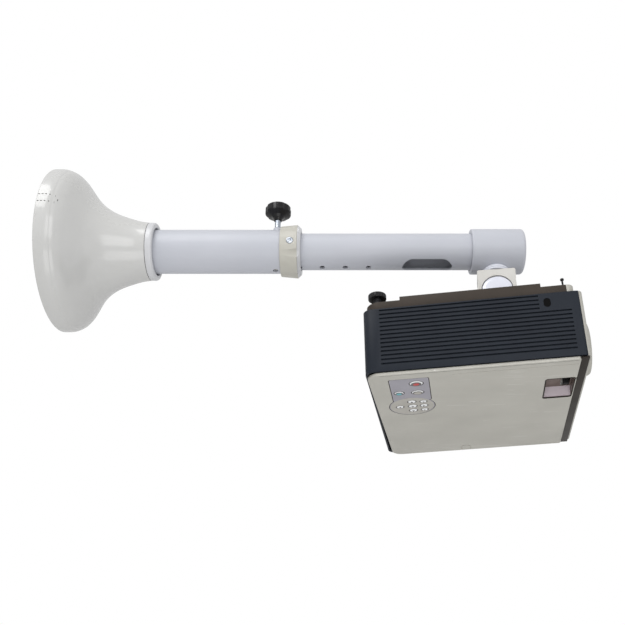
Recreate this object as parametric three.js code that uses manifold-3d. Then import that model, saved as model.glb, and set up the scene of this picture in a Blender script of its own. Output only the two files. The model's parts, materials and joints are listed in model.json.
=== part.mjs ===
// A telescopic wall arm for a ceiling-hung projector, with the projector hanging upside down from it.
// Millimetres, +Z up. The origin is the centre of the wall plate's back face; +X runs along the arm.

import * as THREE from "three";
import { mergeVertices } from "three/addons/utils/BufferGeometryUtils.js";
import Module from "manifold-3d";

const wasm = await Module();
wasm.setup();

// ---------------------------------------------------------------- driving sizes

const SEAT_GAP = 0.3; // between two pieces that touch or run in each other
const MERGE_DISTANCE = 1e-4;
const ROUND = { large: 36, medium: 24, small: 14, tiny: 10 }; // sides of round pieces

const arm = {
  length: 633, // wall to the closed end of the cap
  outerRadius: 30,
  outerWall: 3,
  outerEnd: 310,
  bushWall: 2, // the plastic sleeve between the two tubes
  bushLength: 60,
  innerWall: 2.5,
  innerStart: 178,
  holeRadius: 3.8,
  holePitch: 31.5,
  holeCount: 8,
  lastHoleFromCap: 140,
  slotLength: 68,
  slotWidth: 29,
  slotFromCap: 26,
};

const wall = {
  plateRadius: 92,
  plateThickness: 4,
  screwCircle: 75,
  screwHoleRadius: 4.5,
  screwCount: 4,
  socketWall: 4,
  socketLength: 40,
  socketFlange: 56,
  socketFlangeThickness: 5,
};

const bell = {
  rimRadius: 110.5,
  length: 131,
  wall: 2.6,
  bandWidth: 18.7,
  bandFlat: 9.7, // the part of the band that keeps the rim's radius
  bandFall: 2.2,
  neckClearance: 2.6, // the shadow gap round the tube
  neckWall: 7,
  gripWidth: 6,
  gripFromEnd: 14,
};

const collar = {
  overlap: 9, // how far the collar reaches back over the outer tube
  length: 28,
  wallAtBack: 4.2,
  wallAtFront: 6.4,
  bevelLength: 4.6,
  bevelDrop: 4.4,
  fluteCount: 6,
  fluteDepth: 2.8, // at the fuller, front end; the flutes run out towards the wall
  fluteRunOut: 0.2,
  fluteRadius: 9,
  firstFlute: 34, // degrees from +Y
  screwTurn: 6, // degrees below level
  screwHeadRadius: 4.7,
  screwSocketRadius: 2.2,
};

const knob = {
  radius: 18,
  rimHeight: 12,
  neckHeight: 10,
  neckRadius: 5,
  lobes: 7,
  lobeDepth: 1.6,
  scoopRadius: 9,
  studRadius: 4,
  studBare: 20, // tube surface to the bottom of the neck
  nutRadius: 5.8,
  nutHeight: 7,
  fromCollar: 6.4,
};

const cap = { length: 72, wall: 6, endWall: 6, edgeRound: 4.5, tubeDepth: 50 };

const swivel = {
  fromEnd: 39, // closed end of the cap to the swivel axis
  bossRadius: 19,
  bossDrop: 5.7, // below the lowest line of the cap
  boltRadius: 4,
  boltHeadRadius: 6.5,
  boltHeadHeight: 6,
  boltDepth: 12,
};

const joint = {
  blockWidth: 51,
  blockDepth: 34,
  drumRadius: 20.5,
  webThickness: 11,
  webRadius: 15,
  archRoof: 10, // block metal above the drum
  cheekDrop: 10, // how far the cheeks reach below the tilt axis
  flare: 2.8,
  stemWidth: 24,
  stemDrop: 52,
  rollDrop: 42,
  boltRadius: 3,
  domeHeight: 2.4,
  pinRadius: 3,
  bracketWall: 4.5,
  bracketFloor: 4.6,
  bracketHalfDepth: 14,
  bracketRound: 9,
  plateRadius: 52,
  plateThickness: 2.6,
};

const leg = {
  headings: [75, 180, 285], // degrees round the plate
  start: 34,
  end: 100,
  halfWidth: 10,
  thickness: 2.5,
  slotLength: 29,
  slotHalfWidth: 2.7,
  screwFromEnd: 14,
  screwHeadRadius: 4.2,
  screwRadius: 2.2,
};

// The projector hangs from the tilt axis; its own frame has its origin there, +X towards the lens.
const hang = { yaw: -8.1, tilt: -1.6, roll: -0.9, drop: 68.6 };

const box = {
  length: 252,
  depth: 276,
  height: 100.6,
  hubFromRear: 167.3,
  hubFromNear: 142,
  baseHeight: 15.4,
  baseInset: 3.5,
  baseStep: 4.6,
  coverThickness: 3.8,
  coverRearInset: 1.5,
  coverRearSlant: 4.8, // how much further in the rear edge is at the far side
  coverFrontInset: 11.8,
  coverSideInset: 2.2,
  shell: 2.6,
  rearCorner: 20,
  frontCorner: 8,
  bezelWidth: 4.6,
};

const louvre = { count: 14, pitch: 5.3, height: 2.1, depth: 1.3, fromTop: 1.8, shortRows: 4, shortBy: 35 };
const lock = { fromFront: 40.6, halfWidth: 4, top: 6.5, height: 11.5, depth: 1.6 };

// Sockets in the rear panel: [centre from the near side, half width], [bottom, top] above the cover.
const sockets = {
  mains: { fromNear: 54, halfWidth: 14, bottom: 22, top: 43, pocket: 16 },
  video: { fromNear: 113, halfWidth: 17, bottom: 24, top: 38, pocket: 6 },
  wall: 2,
  length: 22,
};

const optics = {
  fromNear: 79, // near side to the lens axis
  aboveFace: 49,
  surroundRadius: 33.5,
  surroundReach: 10,
  surroundDepth: 8,
  barrelRadius: 24,
  ringWall: 9,
  zoomWidth: 13,
  focusWidth: 15,
  glassRadius: 25,
  windowLength: 35,
  windowDepth: 59,
  windowFromFront: 48,
  leverLength: 12,
  leverHalfWidth: 2.5,
};

const keys = { proud: 1.0, recess: 1.0, inlayThickness: 0.7, bodyLength: 6 };
const inlay = { length: 46, width: 64, ovalX: 21.5, ovalY: 81, ovalRadiusX: 28, ovalRadiusY: 27 };
const foot = {
  wheelRadius: 11,
  wheelHeight: 6.5,
  stemRadius: 4.8,
  stemBare: 14.5,
  fromRear: 16,
  fromNear: 24,
  notches: 12,
  notchRadius: 1.6,
};
const pin = { headRadius: 2.2, headHeight: 2.4, shaftRadius: 1.1, bare: 13, fromFront: 18, fromNear: 16 };
const fan = {
  fromFront: 60,
  fromFar: 14,
  half: 30,
  thickness: 16,
  blades: 7,
  hubRadius: 11,
  spindleRadius: 2,
};

// ---------------------------------------------------------------- shape helpers

const rad = THREE.MathUtils.degToRad;

/** A closed BufferGeometry as a solid, with its faces turned outwards. */
function solid(geometry) {
  geometry.deleteAttribute("normal");
  geometry.deleteAttribute("uv");
  const merged = mergeVertices(geometry, MERGE_DISTANCE);
  const p = merged.attributes.position.array;
  const index = merged.index.array;
  const triangles = [];
  let volume = 0;
  const a = new THREE.Vector3(), b = new THREE.Vector3(), c = new THREE.Vector3();
  for (let i = 0; i < index.length; i += 3) {
    const [i0, i1, i2] = [index[i], index[i + 1], index[i + 2]];
    if (i0 === i1 || i1 === i2 || i2 === i0) continue;
    triangles.push(i0, i1, i2);
    a.fromArray(p, 3 * i0);
    b.fromArray(p, 3 * i1);
    c.fromArray(p, 3 * i2);
    volume += a.dot(b.cross(c));
  }
  if (volume < 0) triangles.reverse();
  const vertProperties = Float32Array.from(p);
  const triVerts = Uint32Array.from(triangles);
  return new wasm.Manifold(new wasm.Mesh({ numProp: 3, vertProperties, triVerts }));
}

/** Several solids joined into one. */
const joined = (...solids) => solids.reduce((whole, next) => whole.add(next));

/** A solid with others cut out of it. */
const cut = (whole, ...tools) => tools.reduce((rest, tool) => rest.subtract(tool), whole);

/** A box between two limits along each axis. */
function block([x0, x1], [y0, y1], [z0, z1]) {
  const geometry = new THREE.BoxGeometry(x1 - x0, y1 - y0, z1 - z0);
  return solid(geometry.translate((x0 + x1) / 2, (y0 + y1) / 2, (z0 + z1) / 2));
}

/** Turns a shape made about +Y so that its axis is X, Y or Z. */
function aim(geometry, axis) {
  if (axis === "x") geometry.rotateZ(-Math.PI / 2);
  if (axis === "z") geometry.rotateX(Math.PI / 2);
  return geometry;
}

/** A rod of a radius between two places along an axis, its centre line at a point. */
function rod(axis, radius, from, to, centre = [0, 0, 0], sides = ROUND.medium) {
  const geometry = new THREE.CylinderGeometry(radius, radius, to - from, sides);
  geometry.translate(0, (from + to) / 2, 0);
  return solid(aim(geometry, axis).translate(...centre));
}

/** A turned piece: [distance along the axis, radius] points, closed on the axis or on itself. */
function turned(axis, points, centre = [0, 0, 0], sides = ROUND.medium) {
  const profile = points.map(([along, radius]) => new THREE.Vector2(radius, along));
  const geometry = new THREE.LatheGeometry(profile, sides);
  return solid(aim(geometry, axis).translate(...centre));
}

/** A round tube along X, with an optional bore through it. */
function pipe(outer, inner, from, to, sides = ROUND.large) {
  const ring = [[from, inner], [from, outer], [to, outer], [to, inner], [from, inner]];
  return turned("x", ring, [0, 0, 0], sides);
}

/** A flat outline raised between two heights. */
function raised(shape, z0, z1, curveSegments = 5) {
  const geometry = new THREE.ExtrudeGeometry(shape, { depth: z1 - z0, bevelEnabled: false, curveSegments });
  return solid(geometry.translate(0, 0, z0));
}

/** A rectangle with round corners, the two at low x and the two at high x sized apart. */
function roundedOutline([x0, x1], [y0, y1], lowRadius, highRadius = lowRadius) {
  const s = new THREE.Shape();
  s.moveTo(x0 + lowRadius, y0);
  s.lineTo(x1 - highRadius, y0);
  s.absarc(x1 - highRadius, y0 + highRadius, highRadius, -Math.PI / 2, 0);
  s.lineTo(x1, y1 - highRadius);
  s.absarc(x1 - highRadius, y1 - highRadius, highRadius, 0, Math.PI / 2);
  s.lineTo(x0 + lowRadius, y1);
  s.absarc(x0 + lowRadius, y1 - lowRadius, lowRadius, Math.PI / 2, Math.PI);
  s.lineTo(x0, y0 + lowRadius);
  s.absarc(x0 + lowRadius, y0 + lowRadius, lowRadius, Math.PI, 1.5 * Math.PI);
  return s;
}

/** An ellipse as a flat outline. */
function oval(x, y, radiusX, radiusY) {
  const s = new THREE.Shape();
  s.absellipse(x, y, radiusX, radiusY, 0, 2 * Math.PI);
  return s;
}

/** The hexagon of a bolt head or nut, as a rod with six sides. */
const hexagon = (axis, radius, from, to, centre) => rod(axis, radius, from, to, centre, 6);

function finish(color, roughness, metalness = 0) {
  return new THREE.MeshStandardMaterial({ color, roughness, metalness });
}

/** Adds one named piece to a group. */
function add(group, name, body, material) {
  const { vertProperties, triVerts } = body.getMesh();
  const geometry = new THREE.BufferGeometry();
  geometry.setAttribute("position", new THREE.BufferAttribute(Float32Array.from(vertProperties), 3));
  geometry.setIndex(new THREE.BufferAttribute(Uint32Array.from(triVerts), 1));
  geometry.computeVertexNormals();
  const mesh = new THREE.Mesh(geometry, material);
  mesh.name = name;
  group.add(mesh);
}

// ---------------------------------------------------------------- finishes

const paint = {
  tube: finish("#c3c8d4", 0.45),
  bell: finish("#cdccc8", 0.25),
  collar: finish("#c8c6be", 0.5),
  white: finish("#e4e6ea", 0.35),
  black: finish("#141416", 0.25),
  rubber: finish("#2a2a2c", 0.8),
  nylon: finish("#e8e6dc", 0.6),
  zinc: finish("#c9cdd2", 0.35, 0.9),
  steel: finish("#8f9499", 0.5, 0.8),
  panel: finish("#3e424b", 0.55),
  base: finish("#524c44", 0.6),
  silver: finish("#afaea8", 0.45, 0.3),
  trim: finish("#322a1e", 0.5),
  lilac: finish("#bdb9bf", 0.5),
  key: finish("#cfd2d4", 0.4),
  glass: finish("#3a3040", 0.05),
  board: finish("#2e6b3c", 0.6),
  amber: finish("#8a6a3a", 0.4),
};

// ---------------------------------------------------------------- derived places on the arm

const innerRadius = arm.outerRadius - arm.outerWall - arm.bushWall;
const capStart = arm.length - cap.length;
const capRadius = innerRadius + cap.wall;
const collarStart = arm.outerEnd - collar.overlap;
const collarEnd = collarStart + collar.length;
const knobX = collarStart - knob.fromCollar;
const socketRadius = arm.outerRadius + SEAT_GAP + wall.socketWall;
const tubeStart = wall.plateThickness + SEAT_GAP;
const swivelX = arm.length - swivel.fromEnd;
const bossBottom = -(capRadius + swivel.bossDrop);
const blockTop = bossBottom - SEAT_GAP - 0.5;
const tiltZ = blockTop - joint.archRoof - joint.drumRadius;
const holeX = (i) => capStart - arm.lastHoleFromCap - i * arm.holePitch;

const arms = new THREE.Group(); // what does not turn
const panned = new THREE.Group(); // turns about the swivel bolt
const tilted = new THREE.Group(); // turns about the tilt bolt
const rolled = new THREE.Group(); // turns about the roll pin
const projector = new THREE.Group(); // the same, with its origin back on the tilt axis
panned.position.set(swivelX, 0, tiltZ);
panned.rotation.z = rad(hang.yaw);
tilted.rotation.y = rad(hang.tilt);
rolled.position.z = -joint.rollDrop;
rolled.rotation.x = rad(hang.roll);
projector.position.z = joint.rollDrop;
panned.add(tilted.add(rolled.add(projector)));

// ---------------------------------------------------------------- wall fixing

function wallFixing() {
  const holes = Array.from({ length: wall.screwCount }, (_, i) => {
    const angle = rad(45) + (i * 2 * Math.PI) / wall.screwCount;
    const centre = [0, wall.screwCircle * Math.cos(angle), wall.screwCircle * Math.sin(angle)];
    return rod("x", wall.screwHoleRadius, -1, wall.plateThickness + 1, centre, ROUND.tiny);
  });
  const plate = rod("x", wall.plateRadius, 0, wall.plateThickness, [0, 0, 0], ROUND.large);
  add(arms, "wall_plate", cut(plate, ...holes), paint.steel);

  const bore = arm.outerRadius + SEAT_GAP;
  const flangeEnd = tubeStart + wall.socketFlangeThickness;
  const socket = [
    [tubeStart, bore],
    [tubeStart, wall.socketFlange],
    [flangeEnd, wall.socketFlange],
    [flangeEnd, socketRadius],
    [tubeStart + wall.socketLength, socketRadius],
    [tubeStart + wall.socketLength, bore],
    [tubeStart, bore],
  ];
  add(arms, "tube_socket", turned("x", socket, [0, 0, 0], ROUND.large), paint.steel);
}

// ---------------------------------------------------------------- bell-shaped wall cover

/** Outer radius of the bell along its length: a rolled rim, a full flank, then a slim neck. */
function bellOutline() {
  const neck = arm.outerRadius + bell.neckClearance + bell.neckWall;
  const flare = bell.rimRadius - neck;
  const start = SEAT_GAP;
  const end = bell.length;
  // share of the length, share of the flare that is left
  const flank = [
    [0.15, 0.965], [0.185, 0.925], [0.235, 0.835], [0.285, 0.705], [0.335, 0.575], [0.4, 0.43],
    [0.475, 0.3], [0.56, 0.205], [0.65, 0.13], [0.75, 0.07], [0.85, 0.025],
  ];
  const rim = [
    [start, bell.rimRadius - 2],
    [start + 2, bell.rimRadius],
    [start + bell.bandFlat, bell.rimRadius],
    [start + (bell.bandFlat + bell.bandWidth) / 2, bell.rimRadius - bell.bandFall * 0.35],
    [start + bell.bandWidth, bell.rimRadius - bell.bandFall],
  ];
  const side = flank.map(([along, left]) => [along * end, neck + left * flare]);
  return [...rim, ...side, [end - 9, neck], [end - 3, neck], [end - 0.9, neck - 0.9], [end, neck - 3]];
}

function bellCover() {
  const outside = bellOutline();
  const bore = arm.outerRadius + bell.neckClearance;
  const start = outside[0][0];
  const inside = outside
    .slice(2, -4)
    .map(([along, radius]) => [along, Math.max(radius - bell.wall, bore)])
    .reverse();
  const profile = [
    ...outside,
    [bell.length, bore + 1.4],
    [bell.length - 1.4, bore],
    ...inside,
    [start, bell.rimRadius - bell.wall],
    outside[0],
  ];
  add(arms, "bell_cover", turned("x", profile, [0, 0, 0], ROUND.large), paint.bell);

  const gripEnd = bell.length - bell.gripFromEnd;
  const grip = pipe(bore - SEAT_GAP, arm.outerRadius + SEAT_GAP, gripEnd - bell.gripWidth, gripEnd);
  add(arms, "cover_grip_ring", grip, paint.rubber);
}

// ---------------------------------------------------------------- tubes, bush and cap

function tubes() {
  const outerBore = arm.outerRadius - arm.outerWall;
  const knobHole = rod("z", knob.studRadius + SEAT_GAP, 0, arm.outerRadius + 5, [knobX, 0, 0], ROUND.small);
  const lockHole = rod("z", arm.holeRadius, -arm.outerRadius - 5, 0, [knobX, 0, 0], ROUND.small);
  const outer = pipe(arm.outerRadius, outerBore, tubeStart + SEAT_GAP, arm.outerEnd);
  add(arms, "outer_tube", cut(outer, knobHole, lockHole), paint.tube);

  const bushStart = arm.outerEnd - arm.bushLength;
  const bush = pipe(outerBore - SEAT_GAP, innerRadius + SEAT_GAP, bushStart, arm.outerEnd);
  add(arms, "guide_bush", cut(bush, knobHole, lockHole), paint.nylon);

  const holes = Array.from({ length: arm.holeCount }, (_, i) =>
    rod("z", arm.holeRadius, -innerRadius - 5, -innerRadius + 8, [holeX(i), 0, 0], ROUND.tiny),
  );
  const slotEnd = capStart - arm.slotFromCap;
  const slot = raised(
    roundedOutline([slotEnd - arm.slotLength, slotEnd], [-arm.slotWidth / 2, arm.slotWidth / 2],
      arm.slotWidth / 2 - 0.01),
    -innerRadius - 5, -innerRadius / 2,
  );
  const boltHole = rod("z", swivel.boltRadius + SEAT_GAP, -innerRadius - 5, 0, [swivelX, 0, 0], ROUND.small);
  const inner = pipe(innerRadius, innerRadius - arm.innerWall, arm.innerStart, capStart + cap.tubeDepth);
  add(arms, "inner_tube", cut(inner, ...holes, slot, boltHole), paint.tube);

  const seat = innerRadius + SEAT_GAP;
  const mouth = arm.length - cap.endWall;
  const capProfile = [
    [capStart, seat],
    [capStart, capRadius - 1],
    [capStart + 1, capRadius],
    ...Array.from({ length: 5 }, (_, i) => {
      const angle = (i / 4) * (Math.PI / 2);
      const inset = cap.edgeRound * (1 - Math.cos(angle));
      return [arm.length - cap.edgeRound * (1 - Math.sin(angle)), capRadius - inset];
    }),
    [arm.length, 0],
    [mouth, 0],
    [mouth, seat],
    [capStart, seat],
  ];
  const capBody = turned("x", capProfile, [0, 0, 0], ROUND.large);
  const capHole = rod("z", swivel.boltRadius + SEAT_GAP, -capRadius - 5, 0, [swivelX, 0, 0], ROUND.small);
  add(arms, "end_cap", cut(capBody, capHole), paint.tube);
}

// ---------------------------------------------------------------- clamp collar and knob

/** The collar that closes the outer tube on the inner one, with its clamp screw. */
function clampCollar() {
  const back = arm.outerRadius + collar.wallAtBack;
  const front = arm.outerRadius + collar.wallAtFront;
  const fullest = collarEnd - collar.bevelLength;
  const profile = [
    [collarStart, arm.outerRadius + SEAT_GAP],
    [collarStart, back - 1],
    [collarStart + 1.5, back],
    [fullest, front],
    [collarEnd, front - collar.bevelDrop],
    [collarEnd, innerRadius + 1.2],
    [arm.outerEnd + SEAT_GAP, innerRadius + 1.2],
    [arm.outerEnd + SEAT_GAP, arm.outerRadius + SEAT_GAP],
    [collarStart, arm.outerRadius + SEAT_GAP],
  ];
  const shallowEnd = back + collar.fluteRunOut;
  const deepEnd = front - collar.fluteDepth;
  const slope = Math.atan2(shallowEnd - deepEnd, fullest - collarStart) * THREE.MathUtils.RAD2DEG;
  const tool = rod("x", collar.fluteRadius, -collar.length, collar.length, [0, 0, 0], ROUND.medium)
    .rotate(0, slope, 0)
    .translate((collarStart + fullest) / 2, 0, (shallowEnd + deepEnd) / 2 + collar.fluteRadius);
  const flutes = Array.from({ length: collar.fluteCount }, (_, i) =>
    tool.rotate(collar.firstFlute - 90 + (i * 360) / collar.fluteCount, 0, 0),
  );
  const screwX = (collarStart + collarEnd) / 2;
  const headFloor = -(arm.outerRadius + 2.4);
  const pocketRadius = collar.screwHeadRadius + SEAT_GAP;
  const pocket = rod("y", pocketRadius, -front - 5, headFloor, [screwX, 0, 0], ROUND.medium)
    .rotate(collar.screwTurn, 0, 0);
  const body = turned("x", profile, [0, 0, 0], ROUND.large);
  add(arms, "clamp_collar", cut(body, ...flutes, pocket), paint.collar);

  const headOutside = -(arm.outerRadius + (collar.wallAtBack + collar.wallAtFront) / 2 + 0.6);
  const head = turned("y", [
    [headFloor - SEAT_GAP, 0],
    [headFloor - SEAT_GAP, collar.screwHeadRadius],
    [headOutside + 1, collar.screwHeadRadius],
    [headOutside, collar.screwHeadRadius - 1],
    [headOutside, 0],
  ], [screwX, 0, 0], ROUND.medium);
  const socketRadius = collar.screwSocketRadius;
  const socket = hexagon("y", socketRadius, headOutside - 1, headOutside + socketRadius, [screwX, 0, 0]);
  add(arms, "collar_screw", cut(head, socket).rotate(collar.screwTurn, 0, 0), paint.zinc);
}

function clampKnob() {
  const top = arm.outerRadius + knob.nutHeight;
  const nut = rod("z", knob.nutRadius, arm.outerRadius * 0.8, top, [knobX, 0, 0], ROUND.medium);
  const saddle = rod("x", arm.outerRadius + SEAT_GAP, knobX - 30, knobX + 30, [0, 0, 0], ROUND.large);
  const thread = rod("z", knob.studRadius + SEAT_GAP, 0, top + 5, [knobX, 0, 0], ROUND.small);
  add(arms, "clamp_nut", cut(nut, saddle, thread), paint.tube);

  const neckBottom = arm.outerRadius + knob.studBare;
  const studTop = neckBottom + knob.neckHeight;
  const stud = rod("z", knob.studRadius, innerRadius + SEAT_GAP, studTop, [knobX, 0, 0], ROUND.small);
  add(arms, "clamp_stud", stud, paint.zinc);

  const rimBottom = neckBottom + knob.neckHeight;
  const rimTop = rimBottom + knob.rimHeight;
  const body = turned("z", [
    [neckBottom, 0],
    [neckBottom, knob.neckRadius],
    [neckBottom + 4, knob.neckRadius + 1.4],
    [rimBottom - 2, knob.neckRadius + 4.4],
    [rimBottom, knob.radius * 0.8],
    [rimBottom + 1.2, knob.radius],
    [rimTop - 1.6, knob.radius],
    [rimTop - 0.4, knob.radius - 1.2],
    [rimTop, knob.radius - 3],
    [rimTop, 0],
  ], [knobX, 0, 0], ROUND.medium);
  const scoops = Array.from({ length: knob.lobes }, (_, i) => {
    const angle = (i * 2 * Math.PI) / knob.lobes;
    const away = knob.radius + knob.scoopRadius - knob.lobeDepth;
    const centre = [knobX + away * Math.cos(angle), away * Math.sin(angle), 0];
    return rod("z", knob.scoopRadius, rimBottom - 1, rimTop + 2, centre, ROUND.small);
  });
  const pocket = rod("z", knob.studRadius + SEAT_GAP, 0, studTop + SEAT_GAP, [knobX, 0, 0], ROUND.small);
  add(arms, "clamp_knob", cut(body, ...scoops, pocket), paint.black);
}

// ---------------------------------------------------------------- swivel, tilt and roll joint

function swivelBoss() {
  const groove = bossBottom + 2.6;
  const boss = turned("z", [
    [bossBottom, 0],
    [bossBottom, swivel.bossRadius - 1],
    [bossBottom + 1, swivel.bossRadius],
    [groove - 0.6, swivel.bossRadius],
    [groove, swivel.bossRadius - 0.7],
    [groove + 0.6, swivel.bossRadius],
    [groove + 2.4, swivel.bossRadius * 0.97],
    [groove + 4.4, swivel.bossRadius * 0.9],
    [groove + 6.2, swivel.bossRadius * 0.79],
    [groove + 8, swivel.bossRadius * 0.65],
    [groove + 8, 0],
  ], [swivelX, 0, 0], ROUND.medium);
  const saddle = rod("x", capRadius + SEAT_GAP, swivelX - 40, swivelX + 40, [0, 0, 0], ROUND.large);
  const bore = rod("z", swivel.boltRadius + SEAT_GAP, bossBottom - 5, 0, [swivelX, 0, 0], ROUND.small);
  add(arms, "swivel_boss", cut(boss, saddle, bore), paint.white);

  const tubeInside = innerRadius - arm.innerWall;
  const headSeat = -Math.sqrt(tubeInside ** 2 - swivel.boltHeadRadius ** 2) + SEAT_GAP;
  const headEnd = headSeat + swivel.boltHeadHeight;
  const head = hexagon("z", swivel.boltHeadRadius, headSeat, headEnd, [swivelX, 0, 0]);
  const shankEnd = blockTop - swivel.boltDepth;
  const shank = rod("z", swivel.boltRadius, shankEnd, headSeat + 1, [swivelX, 0, 0], ROUND.small);
  add(arms, "swivel_bolt", joined(head, shank), paint.zinc);
}

function tiltJoint() {
  const half = joint.blockWidth / 2;
  const roof = joint.archRoof + joint.drumRadius;
  const outline = new THREE.Shape();
  outline.moveTo(-half + 2, roof);
  outline.lineTo(half - 2, roof);
  outline.lineTo(half, roof - 2);
  outline.lineTo(half - 0.5, roof * 0.4);
  outline.lineTo(half + joint.flare / 4, -joint.cheekDrop);
  outline.lineTo(-half - joint.flare, -joint.cheekDrop);
  outline.lineTo(-half + 0.6, roof * 0.35);
  outline.lineTo(-half, roof - 2);
  const halfDepth = joint.blockDepth / 2;
  const prism = new THREE.ExtrudeGeometry(outline, { depth: joint.blockDepth, bevelEnabled: false });
  const body = solid(prism.translate(0, 0, -halfDepth).rotateX(Math.PI / 2));
  const archRadius = joint.drumRadius + 0.6;
  const halfWeb = joint.webThickness / 2;
  const arches = [[-halfDepth - 1, -halfWeb], [halfWeb, halfDepth + 1]].map((span) =>
    joined(
      rod("y", archRadius, ...span, [0, 0, 0], ROUND.medium),
      block([-archRadius, archRadius], span, [-joint.cheekDrop - 20, 0]),
    ),
  );
  const webEnd = joined(
    rod("y", joint.webRadius, -halfWeb, halfWeb, [0, 0, 0], ROUND.large),
    block([-joint.webRadius, joint.webRadius], [-halfWeb, halfWeb], [0, roof / 2]),
  );
  const belowRoof = block([-archRadius, archRadius], [-halfWeb - 1, halfWeb + 1],
    [-joint.cheekDrop - 20, archRadius * 0.7]);
  const swivelBore = swivel.boltRadius + SEAT_GAP;
  const boltBore = rod("z", swivelBore, roof - swivel.boltDepth - 1, roof + 5, [0, 0, 0], ROUND.small);
  const tiltBore = rod("y", joint.boltRadius + SEAT_GAP, -halfDepth, halfDepth, [0, 0, 0], ROUND.small);
  const web = joined(cut(body, ...arches, belowRoof), webEnd);
  add(panned, "tilt_block", cut(web, boltBore, tiltBore), paint.collar);

  const earInside = halfWeb + 0.5;
  const earFace = halfDepth - 1.6;
  const dome = [
    [-earInside, 0],
    [-earInside, joint.drumRadius],
    [-earFace, joint.drumRadius],
    ...[0.93, 0.75, 0.4].map((share) => [
      -earFace - joint.domeHeight * Math.sqrt(1 - share ** 2), joint.drumRadius * share]),
    [-earFace - joint.domeHeight, 0],
  ];
  const frontEar = turned("y", dome, [0, 0, 0], ROUND.medium);
  const backEar = rod("y", joint.drumRadius, earInside, earFace, [0, 0, 0], ROUND.medium);
  const halfStem = joint.stemWidth / 2;
  const stem = cut(
    block([-halfStem, halfStem], [-earFace, earFace], [-joint.stemDrop, -joint.webRadius]),
    block([-halfStem - 1, halfStem + 1], [-earInside, earInside], [-joint.webRadius - 1.5, 0]),
  );
  const rollCentre = [0, 0, -joint.rollDrop];
  const pinBore = rod("x", joint.pinRadius + SEAT_GAP, -halfStem - 5, halfStem + 5, rollCentre, ROUND.small);
  const tilt = rod("y", joint.boltRadius + SEAT_GAP, -halfDepth + 4, halfDepth + 5, [0, 0, 0], ROUND.small);
  add(tilted, "tilt_knuckle", cut(joined(frontEar, backEar, stem), pinBore, tilt), paint.white);

  const headStart = earFace + SEAT_GAP;
  const tiltBolt = joined(
    rod("y", joint.boltRadius, -halfDepth + 4.5, headStart + 1, [0, 0, 0], ROUND.small),
    hexagon("y", 6, headStart, headStart + 4.2, [0, 0, 0]),
  );
  add(tilted, "tilt_bolt", tiltBolt, paint.zinc);
}

/** The bracket that rolls on the knuckle, and the round plate under it. Gives the plate's underside. */
function mountPlate() {
  const inside = joint.stemWidth / 2 + 0.5;
  const outside = inside + joint.bracketWall;
  const rollCentre = [0, 0, -joint.rollDrop];
  const floor = -joint.stemDrop - 3.5;
  const base = floor - joint.bracketFloor;
  const depth = [-joint.bracketHalfDepth, joint.bracketHalfDepth];
  const cheek = (span) =>
    joined(
      rod("x", joint.bracketRound, ...span, rollCentre, ROUND.medium),
      block(span, depth, [base, -joint.rollDrop - 2]),
    );
  const bore = rod("x", joint.pinRadius + SEAT_GAP, -outside - 5, outside + 5, rollCentre, ROUND.small);
  const bridge = block([-outside, outside], depth, [base, floor]);
  const bracket = joined(bridge, cheek([-outside, -inside]), cheek([inside, outside]));
  add(projector, "roll_bracket", cut(bracket, bore), paint.white);

  const pinEnd = outside + 3;
  const pinHead = hexagon("x", 5.5, outside + SEAT_GAP, pinEnd + 1, rollCentre);
  const rollPin = joined(rod("x", joint.pinRadius, -pinEnd, pinEnd, rollCentre, ROUND.small), pinHead);
  add(projector, "roll_pin", rollPin, paint.zinc);

  const seat = base - SEAT_GAP;
  const underside = seat - joint.plateThickness;
  const plate = rod("z", joint.plateRadius, underside, seat, [0, 0, 0], ROUND.large);
  add(projector, "mount_plate", plate, paint.white);
  return underside;
}

const baseTop = -hang.drop;
const faceZ = baseTop - box.height;
const rearX = -box.hubFromRear;
const frontX = rearX + box.length;
const nearY = -box.hubFromNear;
const farY = nearY + box.depth;
const panelTop = baseTop - box.baseHeight;
const panelBottom = faceZ + box.coverThickness;

/** The flat legs under the plate, each with the screw that goes into the projector's base. */
function legs(legTop) {
  leg.headings.forEach((heading, i) => {
    const across = [-leg.halfWidth, leg.halfWidth];
    const outline = roundedOutline([leg.start, leg.end], across, leg.halfWidth - 0.1);
    const slotX = [leg.end - 5 - leg.slotLength, leg.end - 5];
    const slotY = [-leg.slotHalfWidth, leg.slotHalfWidth];
    outline.holes.push(roundedOutline(slotX, slotY, leg.slotHalfWidth - 0.01));
    const blade = raised(outline, legTop - leg.thickness, legTop, 4).rotate(0, 0, heading);
    add(projector, `leg_${i + 1}`, blade, paint.white);

    const away = leg.end - leg.screwFromEnd;
    const centre = [away * Math.cos(rad(heading)), away * Math.sin(rad(heading)), 0];
    const screw = joined(
      rod("z", leg.screwHeadRadius, legTop + SEAT_GAP, legTop + 3.4, centre, ROUND.small),
      rod("z", leg.screwRadius, baseTop + SEAT_GAP, legTop + 1, centre, ROUND.small),
    );
    add(projector, `leg_screw_${i + 1}`, screw, paint.zinc);
  });
}

// ---------------------------------------------------------------- projector casing

const caseOutline = (inset) =>
  roundedOutline([rearX + inset, frontX - inset], [nearY + inset, farY - inset],
    Math.max(box.rearCorner - inset, 1), Math.max(box.frontCorner - inset, 1));

const lens = { y: nearY + optics.fromNear, z: faceZ + optics.aboveFace };

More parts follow.
